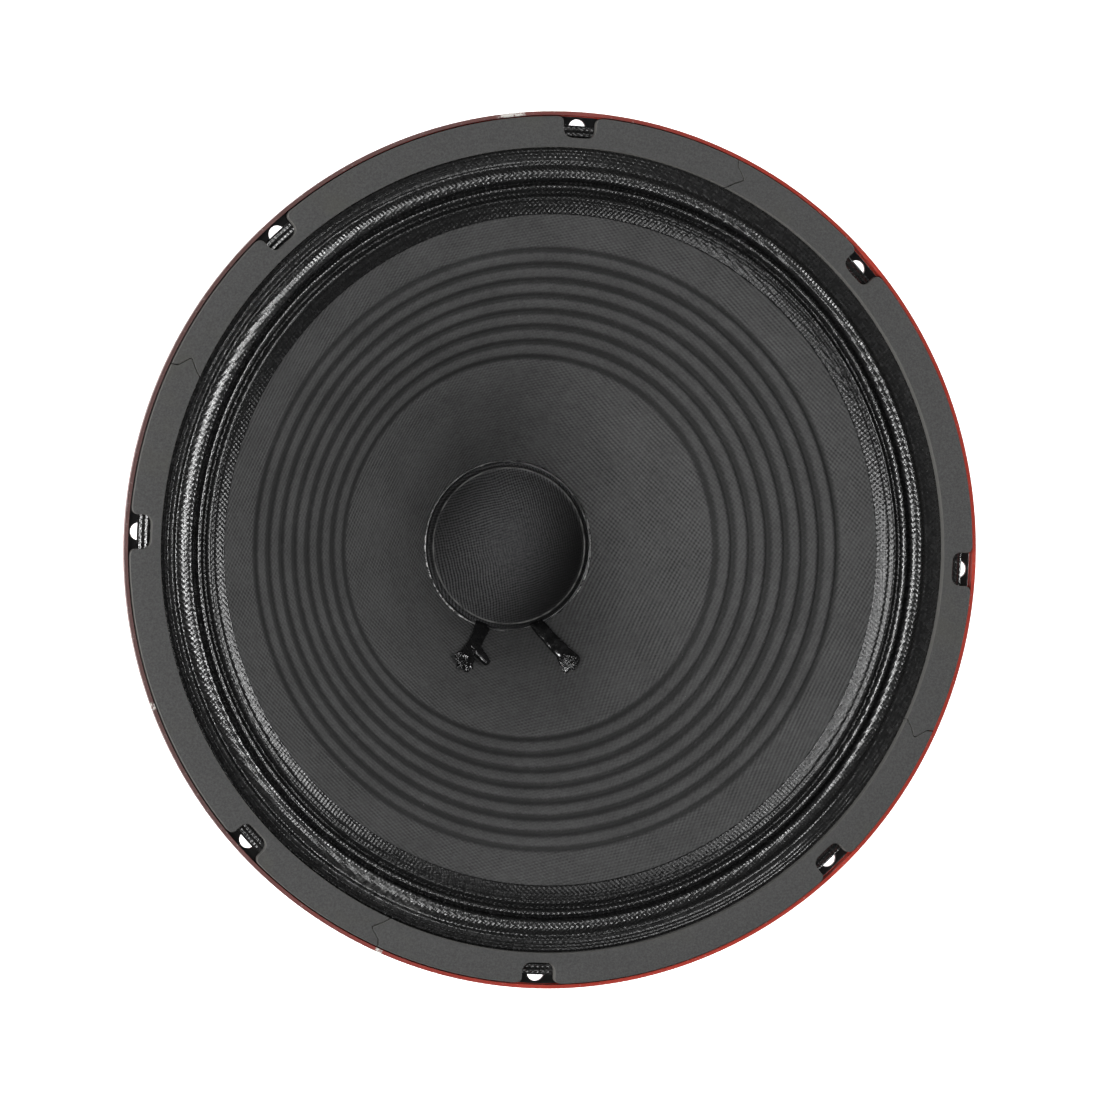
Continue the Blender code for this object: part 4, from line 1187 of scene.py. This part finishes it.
def make_tab(name, side, material, node):
    """A flat foot under the rivet, and a blade bent up at the board's end with a pointed tip."""
    half_foot, blade, width, corner = 5 * MM, 9 * MM, 6.3 * MM, 1.1 * MM
    middle = TAB_THICK / 2
    bend = half_foot - middle
    path = fillet([(-half_foot, middle), (bend, middle), (bend, blade)], [0, corner, 0], 6)
    path = subdivided(path, 0.8 * MM)
    run = run_length(path)
    tip, back = ramp(run, run[-1], run[-1] - 2.2 * MM), ramp(run, 0.0, 1.2 * MM)
    half = width / 2 * (0.62 + 0.38 * tip) * (0.8 + 0.2 * np.sqrt(back))
    ring = fillet([(0, 1), (1, 1), (1, -1), (-1, -1), (-1, 1), (0, 1)], [0] + [0.12] * 4 + [0], 3)[:-1]
    across, over = np.array(ring).T
    flat = path[:, None] + side_normals(path)[:, None] * (over * middle)[:, None]
    grid = np.stack([side * flat[..., 0], across * half[:, None], flat[..., 1]], -1)
    tab = grid_object(name, grid, 35)
    hole = Matrix.Translation((side * bend, 0, blade - 3.2 * MM)) @ Matrix.Rotation(math.pi / 2, 4, "Y")
    drill(tab, [hole], 0.9 * MM, 4 * MM, 24)
    drill(tab, [Matrix.Translation((0, 0, middle))], RIVET_SHANK + 0.05 * MM, 4 * MM, 24)
    tab.data.transform(on_leg(side * TAB_OFFSET, BOARD_TOP + 0.05 * MM))
    tab.data.set_sharp_from_angle(angle=math.radians(35))
    dress(tab, material, "tinned_brass", FIXED, node)


# ---------------------------------------------------------------- leads
EYELET_ANGLES = (246.9, 296.9)
CAP_EXITS = (254.9, 293.5)
STRIP_ENDS = (246.9, 299.2)
STRIP_POINTS = 40
EYELET_ON_CONE = 46.5 * MM
TINSEL_SAG = 12 * MM
UPSIDE_DOWN = Matrix.Rotation(math.pi, 4, "X")
SOLDER_SIZES = ((3.3, 3.8, 2.6), (3.0, 3.8, 2.5))   # half sizes in mm of the doped blobs


def on_cone(degrees, radius, lift=0.0):
    """Matrix on the cone's front: X across the slope, Y up the slope, Z out of the paper."""
    slope = math.atan2(cone_height(radius + 0.1 * MM) - cone_height(radius - 0.1 * MM), 0.2 * MM)
    turn = Matrix.Rotation(math.radians(degrees - 90), 4, "Z") @ Matrix.Rotation(slope, 4, "X")
    return polar_place(radius, degrees, float(cone_height(radius))) @ turn @ Matrix.Translation((0, 0, lift))


def rounded_square(wave):
    return np.sign(wave) * np.abs(wave) ** 0.6


def draped_strip(name, path, half_widths, thickness, seed, material, *nodes):
    """A flat doped strip along a path on the cone, with a rounded lumpy section."""
    along = unit(np.gradient(path, axis=0))
    out = unit(path * (-1.0, -1.0, 0.0))
    across = unit(np.cross(along, 0.62 * out + np.array([0.0, 0.0, 0.78])))
    up = np.cross(across, along)
    turn = angles(28)
    points = (path[:, None] + across[:, None] * (rounded_square(np.cos(turn)) * half_widths[:, None])[..., None]
              + up[:, None] * (rounded_square(np.sin(turn)) * thickness / 2)[:, None])
    points += up[:, None] * (noise_field(points, 330.0, seed, 2) * 0.22 * MM)[..., None]
    points += across[:, None] * (noise_field(points, 220.0, seed + 3, 2) * 0.22 * MM)[..., None]
    dress(grid_object(name, points, 80), material, "black_dope", MOVING, *nodes)


def solder_blob(name, place, size, seed, material, slot, body, rough=0.18):
    """A lumpy drop with a flat underside; size gives its half sizes in mm."""
    mesh = edited(bpy.data.meshes.new(name), lambda builder: bmesh.ops.create_icosphere(
        builder, subdivisions=5, radius=1.0))
    points = vertices_of(mesh)
    swell = 1 + rough * noise_field(points, 1.9, seed) + 0.4 * rough * noise_field(points, 5.5, seed + 1, 2)
    points *= swell[:, None] * np.array(size) * MM
    points[:, 2] *= np.where(points[:, 2] < 0, 0.35, 1.0)
    mesh.vertices.foreach_set("co", points.ravel())
    mesh.transform(place)
    dress(smooth_object(name, mesh, 80), material, slot, body)


def strip_path(index, end_radius):
    """Along the cone from under the cap's edge to the eyelet, or just past it."""
    share = np.linspace(0, 1, STRIP_POINTS)
    start = 29.8 * MM
    degrees = CAP_EXITS[index] + (STRIP_ENDS[index] - CAP_EXITS[index]) * share ** 1.15
    return np.array([on_cone(turn, radius, 0.6 * MM).translation
                     for turn, radius in zip(degrees, start + (end_radius - start) * share)])


def make_cone_leads(dope, thick_dope, wire_finish, tin):
    share = np.linspace(0, 1, STRIP_POINTS)
    first = (2.75 + 0.25 * np.cos(share * 7)) * MM
    second = (2.6 + 0.55 * share) * np.sqrt(np.clip((1.02 - share) * 12, 0, 1)) * MM
    draped_strip("doped_lead_out_1", strip_path(0, 46.0 * MM), first, 1.5 * MM, 11, dope, "lead_out_1")
    draped_strip("doped_lead_out_2", strip_path(1, 48.4 * MM), second, 1.6 * MM, 12, dope, "lead_out_2")
    for number, degrees, size in zip((1, 2), EYELET_ANGLES, SOLDER_SIZES):
        place = on_cone(degrees, EYELET_ON_CONE)
        make_rivet("lead_eyelet_rolled_%d" % number, 0.0, -PAPER, place, wire_finish, "copper", MOVING,
                   "lead_eyelet_%d" % number)
        solder_blob("doped_solder_%d" % number, on_cone(degrees, EYELET_ON_CONE, 0.4 * MM), size,
                    21 + number, thick_dope, "black_dope", MOVING, 0.5)
        behind = on_cone(degrees, EYELET_ON_CONE, -PAPER - 0.9 * MM) @ UPSIDE_DOWN
        solder_blob("rear_solder_%d" % number, behind, (2.0, 2.1, 1.9), 31 + number, tin,
                    "tinned_brass", MOVING)
    make_wire_end(dope)


def make_wire_end(dope):
    """The cut end of the coil's lead beside the left eyelet."""
    stops = ((250.4, 40.2, 1.0), (253.2, 41.8, 1.5), (258.2, 44.8, 1.5))   # degrees, radius and lift in mm
    path = curve_through([on_cone(turn, radius * MM, lift * MM).translation
                          for turn, radius, lift in stops], 0.3 * MM)
    width = np.interp(np.linspace(0, 1, len(path)), [0, 0.6, 1], [1.9, 1.9, 1.3]) * MM
    draped_strip("lead_wire_end", path, width, 2.0 * MM, 14, dope)


def make_tinsel_leads(wire_finish, tin):
    """Three strands twisted together, hanging between the cone's eyelets and the terminals."""
    for number, degrees in zip((1, 2), EYELET_ANGLES):
        start = on_cone(degrees, EYELET_ON_CONE) @ Vector((0, 0, -PAPER - 2.0 * MM))
        place = on_leg(-TAB_OFFSET if start.x > 0 else TAB_OFFSET, BOARD_BOTTOM - RIVET_RISE)
        end = place @ Vector((0, 0, -0.6 * MM))
        share = np.linspace(0, 1, 260)[:, None]
        path = np.array(start) * (1 - share) + np.array(end) * share
        path[:, 2] -= (TINSEL_SAG * 4 * share * (1 - share))[:, 0]
        name = "twisted_tinsel_%d" % number
        lead = smooth_object(name, edited(bpy.data.meshes.new(name), lambda builder: twist(builder, path)))
        dress(lead, wire_finish, "copper", None, "tinsel_lead_%d" % number)
        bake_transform(lead)
        solder_blob("terminal_solder_%d" % number, place @ UPSIDE_DOWN, (2.0, 1.9, 1.5), 41 + number,
                    tin, "tinned_brass", FIXED)


def twist(builder, path):
    """Add three strands that wind around a path."""
    places, twist_length = 48, 5.5 * MM
    ring = tube_grid(path, 0.52 * MM, places)
    rows = np.arange(len(path))
    for phase in angles(3):
        turn = (phase + run_length(path) / twist_length * FULL_TURN) % FULL_TURN / FULL_TURN * places
        low = np.floor(turn).astype(int)
        share = (turn - low)[:, None]
        middle = ring[rows, low % places] * (1 - share) + ring[rows, (low + 1) % places] * share
        builder.from_mesh(grid_mesh("strand", tube_grid(middle, 0.5 * MM, 8), False))


# ---------------------------------------------------------------- assembly
def build_driver():
    paint, tin, wire_finish, steel = red_paint(), tinned_brass(), copper(), zinc_steel()
    dope = black_dope("black_dope", 1.8 * MM, 0.1 * MM, 0.2)
    thick_dope = black_dope("thick_dope", 1.5 * MM, 0.42 * MM, 0.14)
    make_basket(paint)
    make_gasket(gasket_fibre())
    make_surround(doped_cloth())
    make_cone(cone_paper())
    make_dust_cap(cap_cloth())
    make_glue_bead(cap_glue())
    make_coil(former_paper(), wire_finish)
    make_spider(spider_cloth())
    make_motor(steel, ferrite())
    make_screws(steel)
    make_terminals(phenolic(), tin)
    make_cone_leads(dope, thick_dope, wire_finish, tin)
    make_tinsel_leads(wire_finish, tin)


# ---------------------------------------------------------------- stage, camera and light
def make_floor():
    size, cells = 6.0, 24
    steps = np.linspace(-size / 2, size / 2, cells + 1)
    x, y = np.meshgrid(steps, steps)
    points = np.stack([x, y, 0 * x - 0.2 * MM], -1).reshape(-1, 3)
    index = np.arange(len(points)).reshape(cells + 1, cells + 1)
    faces = np.stack([index[:-1, :-1], index[:-1, 1:], index[1:, 1:], index[1:, :-1]], -1).reshape(-1, 4)
    floor = smooth_object("studio_floor", mesh_from("studio_floor", points, faces.tolist()))
    floor.data.materials.append(floor_paper())


def make_camera():
    """A long lens, a little to the left of straight above."""
    tilt, heading, roll = math.radians(14.107), math.radians(176.96), math.radians(2.9)
    distance = 1.92712
    towards = Vector((math.sin(tilt) * math.cos(heading), math.sin(tilt) * math.sin(heading), math.cos(tilt)))
    right = Vector((-math.sin(roll), math.cos(roll), 0)).cross(towards).normalized()
    camera = add_object("camera", bpy.data.cameras.new("camera"))
    turn = Matrix((right, towards.cross(right), towards)).transposed().to_4x4()
    camera.matrix_world = Matrix.Translation(Vector((0, 0, RIM_TOP)) + towards * distance) @ turn
    camera.data.lens = 178.78
    camera.data.sensor_width = 36.0
    camera.data.shift_x = -0.00763
    camera.data.shift_y = 0.00065
    bpy.context.scene.camera = camera


# Each box is (name, place, size, watts): soft boxes only shade, glint boxes only shine
SOFT_BOXES = (("left_box", (-1.50, -0.40, 0.82), (0.9, 0.45), 28.0),
              ("right_box", (1.44, 0.58, 0.82), (0.9, 0.45), 25.0),
              ("top_box", (-0.5, -0.5, 2.3), (1.2, 1.2), 34.0))
GLINT_BOXES = (("left_strip", (-1.5, 0.12, 0.66), (0.8, 0.3), 25.0),
               ("right_strip", (1.4, 0.45, 0.44), (0.9, 0.26), 22.0),
               ("high_left", (-0.95, -0.1, 1.35), (0.4, 0.3), 14.0),
               ("corner_strip", (-1.1, 1.1, 0.8), (0.5, 0.3), 16.0),
               ("high_corner", (-0.6, 0.65, 1.45), (0.4, 0.25), 7.0),
               ("near_box", (-0.15, -1.1, 1.2), (0.5, 0.3), 10.0),
               ("far_box", (0.0, 1.1, 1.2), (0.5, 0.3), 4.0))


def make_light(name, place, size, power):
    """A soft box that faces the driver."""
    data = bpy.data.lights.new(name, "AREA")
    data.shape = "RECTANGLE"
    data.size, data.size_y = size
    data.energy = power
    light = add_object(name, data)
    away = Vector(place) - Vector((0, 0, 0.1))
    light.matrix_world = Matrix.Translation(place) @ away.to_track_quat("Z", "Y").to_matrix().to_4x4()
    return light


def make_world():
    """A pale backdrop for the camera, but only a little light from all around."""
    world = bpy.data.worlds.new("studio")
    world.use_nodes = True
    seen = new_node(world.node_tree, "ShaderNodeLightPath").outputs["Is Camera Ray"]
    strength = new_node(world.node_tree, "ShaderNodeMapRange", {"Value": Field(seen), "To Min": AMBIENT})
    backdrop = world.node_tree.nodes["Background"]
    plug(backdrop.inputs["Strength"], Field(strength.outputs["Result"]))
    plug(backdrop.inputs["Color"], (1.0, 1.0, 1.0))
    bpy.context.scene.world = world


def make_studio():
    make_floor()
    make_camera()
    make_world()
    for name, place, size, power in SOFT_BOXES:
        make_light(name, place, size, power).visible_glossy = False
    for name, place, size, power in GLINT_BOXES:
        make_light(name, place, size, power).visible_diffuse = False
    bpy.context.scene.view_settings.view_transform = "Standard"


build_driver()
make_studio()
